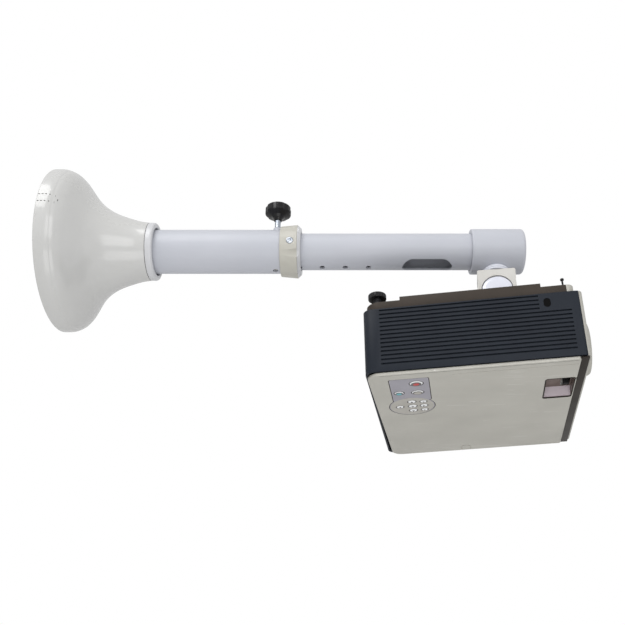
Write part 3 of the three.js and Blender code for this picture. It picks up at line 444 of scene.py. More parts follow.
class Shop:
    """The paint shop: builds one material's node tree."""

    def __init__(self, name: str) -> None:
        """Starts a material with an empty Principled surface."""
        self.material = bpy.data.materials.new(name)
        self.material.use_nodes = True
        self.tree = self.material.node_tree
        self.surface = self.tree.nodes["Principled BSDF"]
        self.place = self.node("ShaderNodeTexCoord", output="Object")

    def node(self, kind: str, settings: dict | None = None, inputs: dict | None = None,
             output: str | int = 0) -> Signal:
        """Adds a node.

        Args:
            kind: The node's type.
            settings: Its options, set first.
            inputs: Values or signals for its sockets, by name or number.
            output: The socket that is wanted.

        Returns:
            The wanted output.
        """
        node = self.tree.nodes.new(kind)
        for key, value in (settings or {}).items():
            if key == "stops":
                for element, (position, colour) in zip(node.color_ramp.elements, value):
                    element.position, element.color = position, colour
            else:
                setattr(node, key, value)
        for key, value in (inputs or {}).items():
            if isinstance(value, Signal):
                self.tree.links.new(value.socket, node.inputs[key])
            else:
                node.inputs[key].default_value = value
        return Signal(self.tree, node.outputs[output])

    def noise(self, size: float, detail: float = 2.0, stretch: Point = (1, 1, 1), offset: float = 0.0) -> Signal:
        """Noise whose blots are about a size in metres, stretched along the axes."""
        spot = self.node("ShaderNodeMapping", inputs={
            "Vector": self.place, "Location": (offset, offset, offset), "Scale": tuple(1 / s for s in stretch)})
        return self.node("ShaderNodeTexNoise", inputs={"Vector": spot, "Scale": 1 / size, "Detail": detail})

    def mix(self, share: Signal | float, first: object, second: object) -> Signal:
        """A colour between two colours or signals."""
        inputs = {"Factor": share, 6: rgba(first), 7: rgba(second)}
        return self.node("ShaderNodeMix", {"data_type": "RGBA"}, inputs, output=2)

    def feed(self, **signals: Signal) -> None:
        """Links signals to the surface's sockets, named with underscores."""
        for key, value in signals.items():
            self.tree.links.new(value.socket, self.surface.inputs[key.replace("_", " ")])

    def set(self, **values: object) -> None:
        """Sets the surface's sockets, named with underscores."""
        for key, value in values.items():
            self.surface.inputs[key.replace("_", " ")].default_value = value

    def bump(self, height: Signal, depth: float) -> None:
        """Raises the surface by a height signal times a depth in metres."""
        inputs = {"Height": height, "Distance": depth, "Strength": 1.0}
        self.feed(Normal=self.node("ShaderNodeBump", inputs=inputs))


def rgba(colour: object) -> object:
    """A colour with its alpha, or a signal as it is."""
    return colour if isinstance(colour, Signal) else (*colour, 1.0)


def srgb(red: int, green: int, blue: int) -> Point:
    """A colour given as on a paint card, 0 to 255, as linear light."""
    return tuple(((c / 255 + 0.055) / 1.055) ** 2.4 if c > 10 else c / 3295 for c in (red, green, blue))


DUST_COLOUR = (0.55, 0.53, 0.5)
SCRATCH_COLOUR = (0.75, 0.75, 0.73)


@dataclass(frozen=True)
class Finish:
    """A painted or moulded finish: soft clouds of shade, fine grain, and dust on what faces up."""

    name: str
    colour: Point
    shade: Point
    roughness: float = 0.5
    spread: float = 0.1
    metallic: float = 0.0
    coat: float = 0.0
    cloud: float = 0.05
    grain: float = 0.0008
    grain_depth: float = 0.00002
    dust: float = 0.05
    shine: float = 0.5
    slot: str = ""

    def build(self) -> bpy.types.Material:
        """Makes the material."""
        shop = Shop(self.name)
        self.dress(shop)
        return shop.material

    def dress(self, shop: Shop) -> None:
        """Fills in the shop's node tree."""
        clouds = shop.noise(self.cloud, 3.0)
        fine = shop.noise(self.grain, 2.0, offset=0.3)
        up = shop.node("ShaderNodeSeparateXYZ", inputs={0: shop.node("ShaderNodeNewGeometry", output="Normal")},
                       output="Z")
        settled = (up * clouds * self.dust * 2).clamped()
        body = shop.mix((clouds * 1.6 - 0.3).clamped(), self.colour, self.shade)
        shop.feed(
            Base_Color=shop.mix(settled, body, DUST_COLOUR),
            Roughness=(clouds * self.spread + fine * (self.spread / 2) + settled
                       + (self.roughness - self.spread * 0.75)).clamped(),
        )
        shop.set(Metallic=self.metallic, Coat_Weight=self.coat, Coat_Roughness=0.06,
                 Specular_IOR_Level=self.shine)
        shop.bump(fine, self.grain_depth)


@dataclass(frozen=True)
class PlatedSteel(Finish):
    """Bright zinc or steel with fine turning marks along one axis."""

    lay: Point = (0.05, 1.0, 1.0)

    def dress(self, shop: Shop) -> None:
        """Fills in the shop's node tree."""
        super().dress(shop)
        marks = shop.noise(self.grain, 3.0, stretch=self.lay)
        clouds = shop.noise(self.cloud, 3.0, offset=0.7)
        rough = marks * self.spread + clouds * self.spread + (self.roughness - self.spread)
        shop.feed(Base_Color=shop.mix(marks, self.colour, self.shade), Roughness=rough.clamped())
        shop.bump(marks, self.grain_depth)


@dataclass(frozen=True)
class FlakeLacquer(Finish):
    """Silver lacquer on plastic: tiny bright flakes, faint rubbing and a few hair scratches."""

    flake: float = 0.0006

    def dress(self, shop: Shop) -> None:
        """Fills in the shop's node tree."""
        clouds = shop.noise(self.cloud, 4.0)
        flakes = shop.noise(self.flake, 1.0, offset=0.2)
        rubbed = shop.noise(0.02, 5.0, stretch=(3.0, 1.0, 1.0), offset=0.5)
        scratch = shop.noise(0.004, 0.0, stretch=(14.0, 0.25, 1.0), offset=0.9)
        line = (scratch > 0.79) * (clouds > 0.5) * 0.5
        tone = ((clouds - 0.5) * 0.9 + (flakes - 0.5) * 0.8 + (rubbed - 0.5) * 0.5 + 0.5).clamped()
        body = shop.mix(tone, self.shade, self.colour)
        shop.feed(
            Base_Color=shop.mix(line, body, SCRATCH_COLOUR),
            Roughness=(flakes * self.spread + rubbed * self.spread + line * -0.2
                       + (self.roughness - self.spread)).clamped(),
        )
        shop.set(Metallic=self.metallic, Coat_Weight=self.coat, Coat_Roughness=0.2)
        shop.bump(flakes, self.grain_depth)


@dataclass(frozen=True)
class CoatedGlass(Finish):
    """Lens glass: dark depth under a purple anti-glare coat."""

    tint: Point = (0.25, 0.1, 0.4)

    def dress(self, shop: Shop) -> None:
        """Fills in the shop's node tree."""
        smear = shop.noise(self.cloud, 3.0)
        shop.feed(Base_Color=shop.mix(smear, self.colour, self.shade),
                  Roughness=(smear * self.spread + self.roughness).clamped())
        shop.set(Coat_Weight=1.0, Coat_Roughness=0.02, Coat_Tint=rgba(self.tint), IOR=1.7)


@dataclass(frozen=True)
class CircuitBoard(Finish):
    """Solder-masked board with copper tracks seen through the mask."""

    def dress(self, shop: Shop) -> None:
        """Fills in the shop's node tree."""
        super().dress(shop)
        tracks = shop.node("ShaderNodeTexBrick", inputs={
            "Vector": shop.place, "Scale": 60.0, "Mortar Size": 0.04,
            "Color1": rgba(self.colour), "Color2": rgba(self.shade), "Mortar": (0.12, 0.34, 0.16, 1)})
        shop.feed(Base_Color=tracks)


class Paint(Enum):
    """Every finish that the object wears."""

    TUBE = Finish("powder_coat_grey", srgb(192, 194, 202), srgb(184, 187, 195), 0.42, 0.14, cloud=0.09,
                  grain=0.0011, grain_depth=0.00003, slot="tube_paint")
    BELL = Finish("bell_gloss_plastic", srgb(200, 200, 199), srgb(192, 192, 190), 0.24, 0.08, coat=0.5,
                  cloud=0.06, grain=0.004, grain_depth=0.00003, slot="bell_plastic")
    # A whiter copy of the plastic: on the bell's neck lip partly its own paler plastic and partly a painted
    # highlight on the rounded lip; on the collar's end bevel a painted highlight where it faces the light.
    LIP_HIGHLIGHT = Finish("lip_plastic_painted_highlight", srgb(206, 207, 210), srgb(198, 199, 202), 0.3, 0.08, coat=0.2,
                 slot="bell_plastic")
    COLLAR = Finish("collar_satin_plastic", srgb(192, 190, 182), srgb(182, 180, 170), 0.48, 0.12,
                    cloud=0.02, slot="collar_plastic")
    WHITE = Finish("white_enamel", srgb(226, 228, 236), srgb(214, 217, 226), 0.3, 0.12, coat=0.3,
                   cloud=0.03, slot="white_paint")
    DOME = Finish("knuckle_gloss_enamel", srgb(236, 238, 248), srgb(226, 228, 240), 0.14, 0.05, coat=0.6,
                  cloud=0.03, grain_depth=0.00001, slot="white_paint")
    BLOCK = Finish("block_casting_paint", srgb(214, 212, 208), srgb(204, 202, 196), 0.42, 0.12, cloud=0.02,
                   slot="collar_plastic")
    BLACK = Finish("knob_black_bakelite", (0.004, 0.004, 0.005), (0.007, 0.007, 0.008), 0.3, 0.12, coat=0.15,
                   cloud=0.01, dust=0.0, shine=0.25, slot="black_plastic")
    INSIDE = Finish("shadowed_black_plastic", (0.008, 0.008, 0.009), (0.014, 0.014, 0.014), 0.6, 0.2, cloud=0.02,
                    dust=0.01, shine=0.2, slot="black_plastic")
    RUBBER = Finish("ring_rubber", (0.02, 0.02, 0.02), (0.035, 0.034, 0.032), 0.8, 0.1, cloud=0.01,
                    slot="rubber")
    NYLON = Finish("bush_nylon", (0.72, 0.7, 0.62), (0.66, 0.64, 0.56), 0.5, 0.1, cloud=0.02, slot="nylon")
    ZINC = PlatedSteel("bright_zinc", (0.72, 0.75, 0.8), (0.5, 0.55, 0.62), 0.32, 0.14, metallic=1.0,
                       grain=0.0012, cloud=0.01, slot="zinc")
    STEEL = PlatedSteel("plate_steel", (0.42, 0.43, 0.44), (0.34, 0.35, 0.36), 0.45, 0.2, metallic=0.7,
                        grain=0.001, cloud=0.03, lay=(1, 1, 1), slot="steel")
    OXIDE = PlatedSteel("black_oxide_steel", (0.06, 0.06, 0.065), (0.03, 0.03, 0.035), 0.4, 0.14, metallic=0.6,
                        grain=0.0012, cloud=0.01, slot="zinc")
    PANEL = Finish("slate_spark_plastic", srgb(28, 34, 43), srgb(22, 27, 36), 0.5, 0.12, cloud=0.04,
                   grain=0.0007, grain_depth=0.00004, dust=0.01, shine=0.22, slot="panel_plastic")
    BASE = Finish("brown_grey_spark_plastic", srgb(57, 48, 41), srgb(49, 42, 35), 0.58, 0.12, cloud=0.03,
                  grain=0.0007, grain_depth=0.00004, dust=0.02, shine=0.3, slot="base_plastic")
    VOID = Finish("slot_shadow", (0.004, 0.004, 0.004), (0.006, 0.006, 0.006), 0.8, 0.1, cloud=0.01, dust=0.0,
                  shine=0.05, slot="black_plastic")
    SILVER = FlakeLacquer("silver_lacquer", srgb(186, 184, 176), srgb(166, 164, 156), 0.42, 0.12, metallic=0.15,
                          cloud=0.05, grain_depth=0.00001, slot="silver_plastic")
    TRIM = Finish("brown_front_strip", srgb(40, 32, 24), srgb(30, 24, 18), 0.4, 0.15, cloud=0.03, dust=0.01,
                  shine=0.25, slot="trim_plastic")
    INLAY = Finish("lilac_inlay", srgb(154, 152, 160), srgb(144, 142, 150), 0.45, 0.1, cloud=0.02,
                   slot="lilac_plastic")
    PAD = Finish("key_pad_plastic", srgb(172, 169, 162), srgb(162, 159, 152), 0.45, 0.1, cloud=0.02,
                 slot="lilac_plastic")
    KEY = Finish("key_plastic", srgb(160, 157, 151), srgb(148, 146, 141), 0.4, 0.1, cloud=0.01,
                 slot="key_plastic")
    MARK = Finish("printed_mark", srgb(104, 100, 98), srgb(92, 88, 88), 0.5, 0.1, cloud=0.01, slot="key_plastic")
    RED = Finish("red_power_mark", srgb(196, 52, 52), srgb(176, 44, 44), 0.35, 0.1, cloud=0.01,
                 slot="amber_plastic")
    TEAL = Finish("teal_mark", srgb(96, 170, 178), srgb(84, 150, 160), 0.35, 0.1, cloud=0.01,
                  slot="key_plastic")
    # Near-black strips set into the grooves, gaps and slits round the keys, the inlay, the cover's lip, the
    # bell's neck and the knock-out: painted shade of those recesses, and partly the dark of the joints
    # themselves.
    SEAM = Finish("dark_seam_and_painted_shade", (0.02, 0.016, 0.013), (0.03, 0.026, 0.022), 0.7, 0.1, cloud=0.01, dust=0.0,
                  shine=0.2, slot="black_plastic")
    WINDOW = Finish("window_brown", srgb(112, 98, 92), srgb(84, 72, 66), 0.4, 0.2, cloud=0.02, shine=0.3,
                    slot="trim_plastic")
    # The light lilac of the window's far ledge is a painted highlight where that slope catches the light.
    LEDGE_HIGHLIGHT = Finish("window_ledge_painted_highlight", srgb(176, 164, 170), srgb(160, 148, 154), 0.35, 0.1, cloud=0.02,
                   slot="trim_plastic")
    GLASS = CoatedGlass("coated_lens", (0.01, 0.008, 0.014), (0.02, 0.014, 0.03), 0.03, 0.04, cloud=0.02,
                        slot="lens_glass")
    BOARD = CircuitBoard("circuit_board", (0.02, 0.12, 0.04), (0.03, 0.16, 0.06), 0.4, 0.1, cloud=0.02,
                         slot="board_green")
    LAMP = Finish("lamp_housing_cast", (0.3, 0.27, 0.24), (0.22, 0.2, 0.18), 0.5, 0.2, metallic=0.4,
                  cloud=0.02, slot="amber_plastic")

    def material(self) -> bpy.types.Material:
        """The finish's material, made once."""
        return bpy.data.materials.get(self.value.name) or self.value.build()


# ------------------------------------------------------------ places shared with the frame


class Places:
    """Points and directions read from the frame's joints."""

    def __init__(self, joints: list[dict]) -> None:
        """Reads the joints' places and axes."""
        by_name = {joint["name"]: joint for joint in joints}
        self.tilt_centre = Vector(by_name["swivel_pan"]["pos_m"])
        self.roll_centre = Vector(by_name["tilt_roll"]["pos_m"])
        tilt_axis = Vector(by_name["tilt_pitch"]["axis"])
        roll_axis = Vector(by_name["tilt_roll"]["axis"])
        lens_axis = Vector(by_name["zoom_turn"]["axis"])
        depth_axis = Vector(by_name["fan_spin"]["axis"])
        self.swivelled = self._frame(tilt_axis.cross(Axis.Z.value), tilt_axis, self.tilt_centre)
        self.tilted = self._frame(roll_axis, tilt_axis, self.tilt_centre)
        rolled = self._frame(lens_axis, depth_axis, self.roll_centre)
        drop = (self.tilt_centre - self.roll_centre).length
        self.hung = rolled @ Matrix.Translation((0, 0, drop))

    @staticmethod
    def _frame(along: Vector, across: Vector, origin: Vector) -> Matrix:
        """A frame at an origin, with its X along one direction and its Y towards another."""
        along = along.normalized()
        up = along.cross(across).normalized()
        turn = Matrix((along, up.cross(along), up)).transposed().to_4x4()
        return Matrix.Translation(origin) @ turn


PLACES = Places(frame["joints"])


@dataclass
class Assembly:
    """What every sub-assembly shares: how a finished piece is dressed and tied to the frame."""

    made: list[str] = field(default_factory=list, init=False)

    def fit(self, piece: Piece, paint: Paint, body: str, *nodes: str,
            place: Matrix | None = None, crisp: float = 32) -> Piece:
        """Finishes one piece and ties it to the frame.

        Args:
            piece: The modelled piece.
            paint: Its finish.
            body: The CAD body that it rides on.
            nodes: The CAD nodes that it stands for.
            place: Where its own frame lies, if it wasn't modelled in the object's frame.
            crisp: Edges sharper than this angle in degrees stay crisp.

        Returns:
            The piece.
        """
        if place is not None:
            Bench.move(piece, place)
        piece.data.materials.clear()
        piece.data.materials.append(paint.material())
        Bench.smooth(piece, crisp)
        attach(piece, body)
        if nodes:
            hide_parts(*nodes)
        self.made.append(piece.name)
        return piece

    def recoat(self, paint: Paint, *nodes: str) -> None:
        """Gives CAD nodes that stay in the model their finish."""
        for node in nodes:
            slots = frame["nodes"][node].data.materials
            slots.clear()
            slots.append(paint.material())
            self.made.append(node)


# ------------------------------------------------------------ the arm


@dataclass
class Arm:
    """Sizes that the arm's pieces share; the arm runs along X, out from the wall."""

    outer: float = 30
    outer_bore: float = 27
    outer_start: float = 4.6
    outer_end: float = 310
    inner: float = 25
    inner_bore: float = 22.5
    cap: float = 31
    knob_x: float = 294.6
    swivel_x: float = 594


ARM = Arm()


@dataclass
class WallFixing(Assembly):
    """The plate that is screwed to the wall, and the socket that holds the outer tube."""

    plate_radius: float = 92
    plate_thickness: float = 4
    screw_circle: float = 75
    screw_count: int = 4
    screw_hole: float = 4.5
    flange_radius: float = 56
    flange_thickness: float = 5
    socket_radius: float = 34.3
    socket_end: float = 44.3

    def build(self) -> None:
        """Builds the plate and the socket."""
        plate = Bench.rod("wall_plate_pressing", Axis.X, self.plate_radius, (0, self.plate_thickness), steps=96)
        hole = Bench.rod("hole", Axis.X, self.screw_hole, (-1, self.plate_thickness + 1),
                         (0, self.screw_circle, 0), steps=24)
        Bench.cut(plate, *Bench.around(hole, Axis.X, self.screw_count, 45))
        Bench.ease(plate, 0.5)
        self.fit(plate, Paint.STEEL, "wall_arm", "wall_plate")
        start = self.plate_thickness + GAP
        flange_end = start + self.flange_thickness
        bore, middle = ARM.outer + GAP, 45
        socket = Bench.turned("tube_socket_weldment", [
            (start, middle), (start, self.flange_radius, 0.6), (flange_end, self.flange_radius, 0.6),
            (flange_end, self.socket_radius, 3), (self.socket_end, self.socket_radius, 1),
            (self.socket_end, bore), (start, bore), (start, middle)])
        self.fit(socket, Paint.STEEL, "wall_arm", "tube_socket")


@dataclass
class BellCover(Assembly):
    """The glossy bell that slides along the tube and hides the wall fixing."""

    rim: float = 110.5
    start: float = 0.3
    band: float = 18.7
    flat: float = 9.7
    fall: float = 2.2
    neck: float = 39.6
    end: float = 131
    wall: float = 2.6
    bore: float = 32.6
    lip: float = 9
    seam: float = 0.5
    grip: tuple[float, float] = (111, 117)
    knock_out_turn: float = 84

    def flank(self) -> list[tuple[float, float]]:
        """The swept outside from the band down to the neck."""
        return flowing([
            (self.start + self.band + 0.5, self.rim - self.fall - 0.5), (24.2, 105.4), (30.8, 98.9),
            (36.9, 90.3), (43.2, 81.0), (51.4, 70.4), (61.4, 61.2), (72.6, 54.0), (85.0, 48.6),
            (98.3, 44.3), (110, 41.2), (self.end - self.lip - 0.8, self.neck)])

    def build(self) -> None:
        """Builds the bell, its neck's lip, its grip ring and the outline of its knock-out."""
        outside = self.flank()
        inside = [(x, max(r - self.wall, self.bore)) for x, r in reversed(outside[::2])]
        band_end = self.start + self.band
        split = self.end - self.lip
        bell = Bench.turned("bell_moulding", [
            (self.start, self.rim - self.wall), (self.start, self.rim, 1.6),
            *flowing([(self.start + self.flat, self.rim), (self.start + self.flat + 4.5, self.rim - 0.7),
                      (band_end, self.rim - self.fall)], 4),
            *outside, (split - self.seam, self.neck - 0.6), (split - self.seam, self.bore), *inside,
            (self.start, self.rim - self.wall)], steps=144)
        self.fit(bell, Paint.BELL, "cover", "bell_cover", crisp=40)
        # The lip is whiter than the bell: partly a paler plastic, partly a painted highlight on its rounded
        # edge.
        lip = Bench.turned("bell_neck_lip", [
            (split, self.bore + 2), (split, self.neck - 0.1, 0.4), (self.end, self.neck - 0.1, 3.2),
            (self.end, self.bore, 1.2), (split, self.bore), (split, self.bore + 2)], steps=112)
        self.fit(lip, Paint.LIP_HIGHLIGHT, "cover")
        # A near-black ring in the neck's parting groove: painted shade of the groove.
        seam = Bench.ring("bell_neck_seam_shadow", Axis.X, (self.bore, self.neck - 0.7), (split - self.seam, split),
                          steps=96)
        self.fit(seam, Paint.SEAM, "cover")
        radii = (ARM.outer + GAP, self.bore - GAP)
        grip = Bench.ring("cover_grip_moulding", Axis.X, radii, self.grip, edge=0.5)
        self.fit(grip, Paint.RUBBER, "cover", "cover_grip_ring")
        self.knock_out()

    def knock_out(self) -> None:
        """The dashed outline of the cable knock-out near the rim."""
        half, reach = 5.6, 25.0
        straight = [(x, side * half) for side in (-1, 1) for x in (3.0, 7.2, 11.4, 15.6)]
        bend = [(reach - half + half * math.cos(t), half * math.sin(t)) for t in (-1.1, 0.0, 1.1)]
        # Each dash is a dark slab flush with the bell in place of a cut slit: painted shade of the slit.
        dashes = []
        for i, (x, across) in enumerate([*straight, *bend]):
            long, wide = (2.6, 1.0) if i < len(straight) else (1.4, 3.0)
            past = x - self.start - self.band
            depth = max(self.fall + 0.62 * past, 0.0) if past > 0 else self.fall * max(1 + past / 9, 0.0) ** 1.5
            radius = math.sqrt((self.rim - depth) ** 2 - across ** 2)
            dash = Bench.slab("dash", (x - long / 2, across - wide / 2, radius - 1.2),
                              (x + long / 2, across + wide / 2, radius + 0.05), corner=0.3, steps=3)
            dashes.append(Bench.move(dash, Matrix.Rotation(math.radians(self.knock_out_turn), 4, "X")))
        self.fit(Bench.gather("knock_out_outline", dashes), Paint.SEAM, "cover")


@dataclass
class TelescopicTubes(Assembly):
    """The outer and inner tubes, the bush between them and the cap on the end."""

    inner_start: float = 178
    bush_start: float = 250
    cap_start: float = 561
    cap_end: float = 633
    cap_wall: float = 6
    tube_in_cap: float = 50
    hole: float = 3.8
    hole_pitch: float = 31.5
    hole_count: int = 8
    last_hole: float = 421
    slot: tuple[float, float] = (467, 535)
    slot_width: float = 29

    def build(self) -> None:
        """Builds the four round pieces."""
        knob = (ARM.knob_x, 0, 0)
        lock_rings = [ARM.knob_x - 8, ARM.knob_x + 8]
        outer = self.pipe("outer_tube_extrusion", (ARM.outer_bore, ARM.outer), (ARM.outer_start, ARM.outer_end),
                          lock_rings)
        Bench.cut(outer, Bench.rod("drill", Axis.Z, STUD_HOLE, (0, 40), knob, steps=32),
                  Bench.rod("drill", Axis.Z, self.hole, (-40, -0.1), knob, steps=32))
        self.fit(outer, Paint.TUBE, "wall_arm", "outer_tube")

        bush = Bench.ring("guide_bush_moulding", Axis.X, (ARM.inner + GAP, ARM.outer_bore - GAP),
                          (self.bush_start, ARM.outer_end), edge=0.4)
        Bench.cut(bush, Bench.rod("drill", Axis.Z, STUD_HOLE, (-40, 40), knob, steps=32))
        self.fit(bush, Paint.NYLON, "wall_arm", "guide_bush")

        holes = [self.last_hole - i * self.hole_pitch for i in range(self.hole_count)]
        rings = sorted([x + side * 6 for x in holes for side in (-1, 1)] + [self.slot[0] - 3, self.slot[1] + 3])
        inner = self.pipe("inner_tube_extrusion", (ARM.inner_bore, ARM.inner),
                          (self.inner_start, self.cap_start + self.tube_in_cap), rings)
        drills = [Bench.rod("drill", Axis.Z, self.hole, (-30, -15), (x, 0, 0), steps=32) for x in holes]
        half = self.slot_width / 2
        milled = Bench.slab("milled", (self.slot[0], -half, -30), (self.slot[1], half, -12.5),
                            corner=half - 0.05, steps=16)
        Bench.cut(inner, milled, *drills)
        self.fit(inner, Paint.TUBE, "extension", "inner_tube")

        bore, inner_end = ARM.inner + GAP, self.cap_end - self.cap_wall
        cap = Bench.turned("end_cap_moulding", [
            (self.cap_start + 5, bore), (self.cap_start, bore, 0.4), (self.cap_start, ARM.cap, 1.2),
            (self.cap_start + 4, ARM.cap), (ARM.swivel_x - 12, ARM.cap), (ARM.swivel_x + 12, ARM.cap),
            (self.cap_end, ARM.cap, 4.5), (self.cap_end, 0), (inner_end, 0), (inner_end, bore),
            (self.cap_start + 5, bore)], steps=112)
        self.fit(cap, Paint.TUBE, "extension", "end_cap")

    @staticmethod
    def pipe(name: str, radii: tuple[float, float], ends: tuple[float, float],
             rings: Sequence[float]) -> Piece:
        """A tube with eased ends and extra rings of vertices round its holes."""
        (inner, outer), (start, end) = radii, ends
        return Bench.turned(name, [
            (start, (inner + outer) / 2), (start, outer, 0.5), *((x, outer) for x in rings if start < x < end),
            (end, outer, 0.5), (end, inner, 0.5), *((x, inner) for x in reversed(rings) if start < x < end),
            (start, inner, 0.5), (start, (inner + outer) / 2)], steps=128)


@dataclass
class ClampCollar(Assembly):
    """The fluted collar that closes the outer tube on the inner one."""

    start: float = 301
    end: float = 329
    back: float = 34.2
    front: float = 36.4
    bevel: float = 324.4
    nose: float = 32
    mouth: float = 26.2
    flutes: int = 6
    flute_radius: float = 9
    flute_centre: Point = (312.7, 43, 0)
    flute_tilt: float = -1.96
    first_flute: float = 34
    screw_x: float = 315
    screw_turn: float = 6

    def build(self) -> None:
        """Builds the collar, its end face and its screw."""
        bore, shoulder = ARM.outer + GAP, ARM.outer_end + GAP
        body = Bench.turned("clamp_collar_moulding", [
            (self.start + 4, bore), (self.start, bore, 0.4), (self.start, self.back, 1.4),
            (self.bevel, self.front, 0.4), (self.bevel, self.mouth), (shoulder, self.mouth), (shoulder, bore),
            (self.start + 4, bore)], steps=120)
        face = Bench.turned("collar_end_ring", [
            (self.bevel + 0.1, 30), (self.bevel + 0.1, self.front - 0.4, 0.3), (self.end, self.nose, 0.6),
            (self.end, 26.4, 0.3), (self.bevel + 0.1, 26.4), (self.bevel + 0.1, 30)], steps=112)
        scoop = Bench.rod("scoop", Axis.X, self.flute_radius, (-30, 30), steps=72)
        Bench.move(scoop, Matrix.Translation(Vector(self.flute_centre) * MM)
                   @ Matrix.Rotation(math.radians(self.flute_tilt), 4, "Z"))
        for target in (body, face):
            Bench.cut(target, *Bench.around(Bench.copy(scoop, "scoop"), Axis.X, self.flutes, self.first_flute))
        Bench.take(scoop)
        bpy.ops.object.delete()
        pocket = Bench.rod("pocket", Axis.Y, 5.0, (-45, -32.4), (self.screw_x, 0, 0))
        turn = Matrix.Rotation(math.radians(self.screw_turn), 4, "X")
        Bench.cut(body, Bench.move(pocket, turn))
        Bench.ease(body, 0.35, segments=2, sharper_than=30)
        Bench.ease(face, 0.3, segments=2, sharper_than=30)
        self.fit(body, Paint.COLLAR, "wall_arm", "clamp_collar")
        # The end ring is the collar's own bevel painted lighter than the collar: a painted highlight.
        self.fit(face, Paint.LIP_HIGHLIGHT, "wall_arm")
        screw = Bench.turned("collar_socket_screw", [
            (-32.7, 0), (-32.7, 4.7), (-36.0, 4.7, 0.9), (-36.0, 0)], Axis.Y, (self.screw_x, 0, 0), steps=48)
        Bench.cut(screw, Bench.rod("hex", Axis.Y, 2.5, (-40, -33.6), (self.screw_x, 0, 0), steps=6))
        Bench.ease(screw, 0.15, segments=2)
        self.fit(screw, Paint.ZINC, "wall_arm", "collar_screw", place=turn)


@dataclass
class ClampKnob(Assembly):
    """The lobed knob on its stud, with the nut that it runs in."""

    radius: float = 18
    stud: float = 4
    nut: float = 5.8
    neck_bottom: float = 50
    rim_bottom: float = 60
    rim_top: float = 72
    lobes: int = 7

    def build(self) -> None:
        """Builds the knob, the stud and the nut."""
        centre = (ARM.knob_x, 0, 0)
        knob = Bench.turned("clamp_knob_moulding", [
            (self.neck_bottom, 0), (self.neck_bottom, 5.2, 0.8), (self.neck_bottom + 4, 6.4, 4),
            (self.rim_bottom - 2.2, 9.4, 3), (self.rim_bottom, self.radius * 0.8, 1.2),
            (self.rim_bottom + 1.6, self.radius, 1.0), (self.rim_top, self.radius, 2.4),
            (self.rim_top, 0)], Axis.Z, centre, steps=96)
        scoop = Bench.rod("scoop", Axis.Z, 9, (self.rim_bottom - 3, self.rim_top + 3),
                          (ARM.knob_x + self.radius + 7.4, 0, 0), steps=64)
        Bench.cut(knob, *Bench.around(scoop, Axis.Z, self.lobes, 0, centre))
        Bench.cut(knob, Bench.rod("bore", Axis.Z, STUD_HOLE, (40, 70 + GAP), centre))
        Bench.ease(knob, 0.6, segments=3, sharper_than=24)
        self.fit(knob, Paint.BLACK, "knob", "clamp_knob")
        stud = Bench.rod("clamp_stud_turning", Axis.Z, self.stud, (ARM.inner + GAP, 70), centre, edge=0.4)
        groove = Bench.ring("groove", Axis.Z, (self.stud - 0.45, 6), (38.2, 38.7), centre)
        Bench.cut(stud, *Bench.row(groove, Axis.Z, 10, 1.25))
        self.fit(stud, Paint.ZINC, "knob", "clamp_stud")
        nut = Bench.turned("clamp_nut_boss", [
            (24, 4.4), (24, self.nut), (37, self.nut, 1.0), (37, 4.4, 0.3), (24, 4.4)], Axis.Z, centre, steps=64)
        along = (ARM.knob_x - 20, ARM.knob_x + 20)
        Bench.cut(nut, Bench.rod("saddle", Axis.X, ARM.outer + GAP, along, steps=96))
        self.fit(nut, Paint.TUBE, "wall_arm", "clamp_nut")


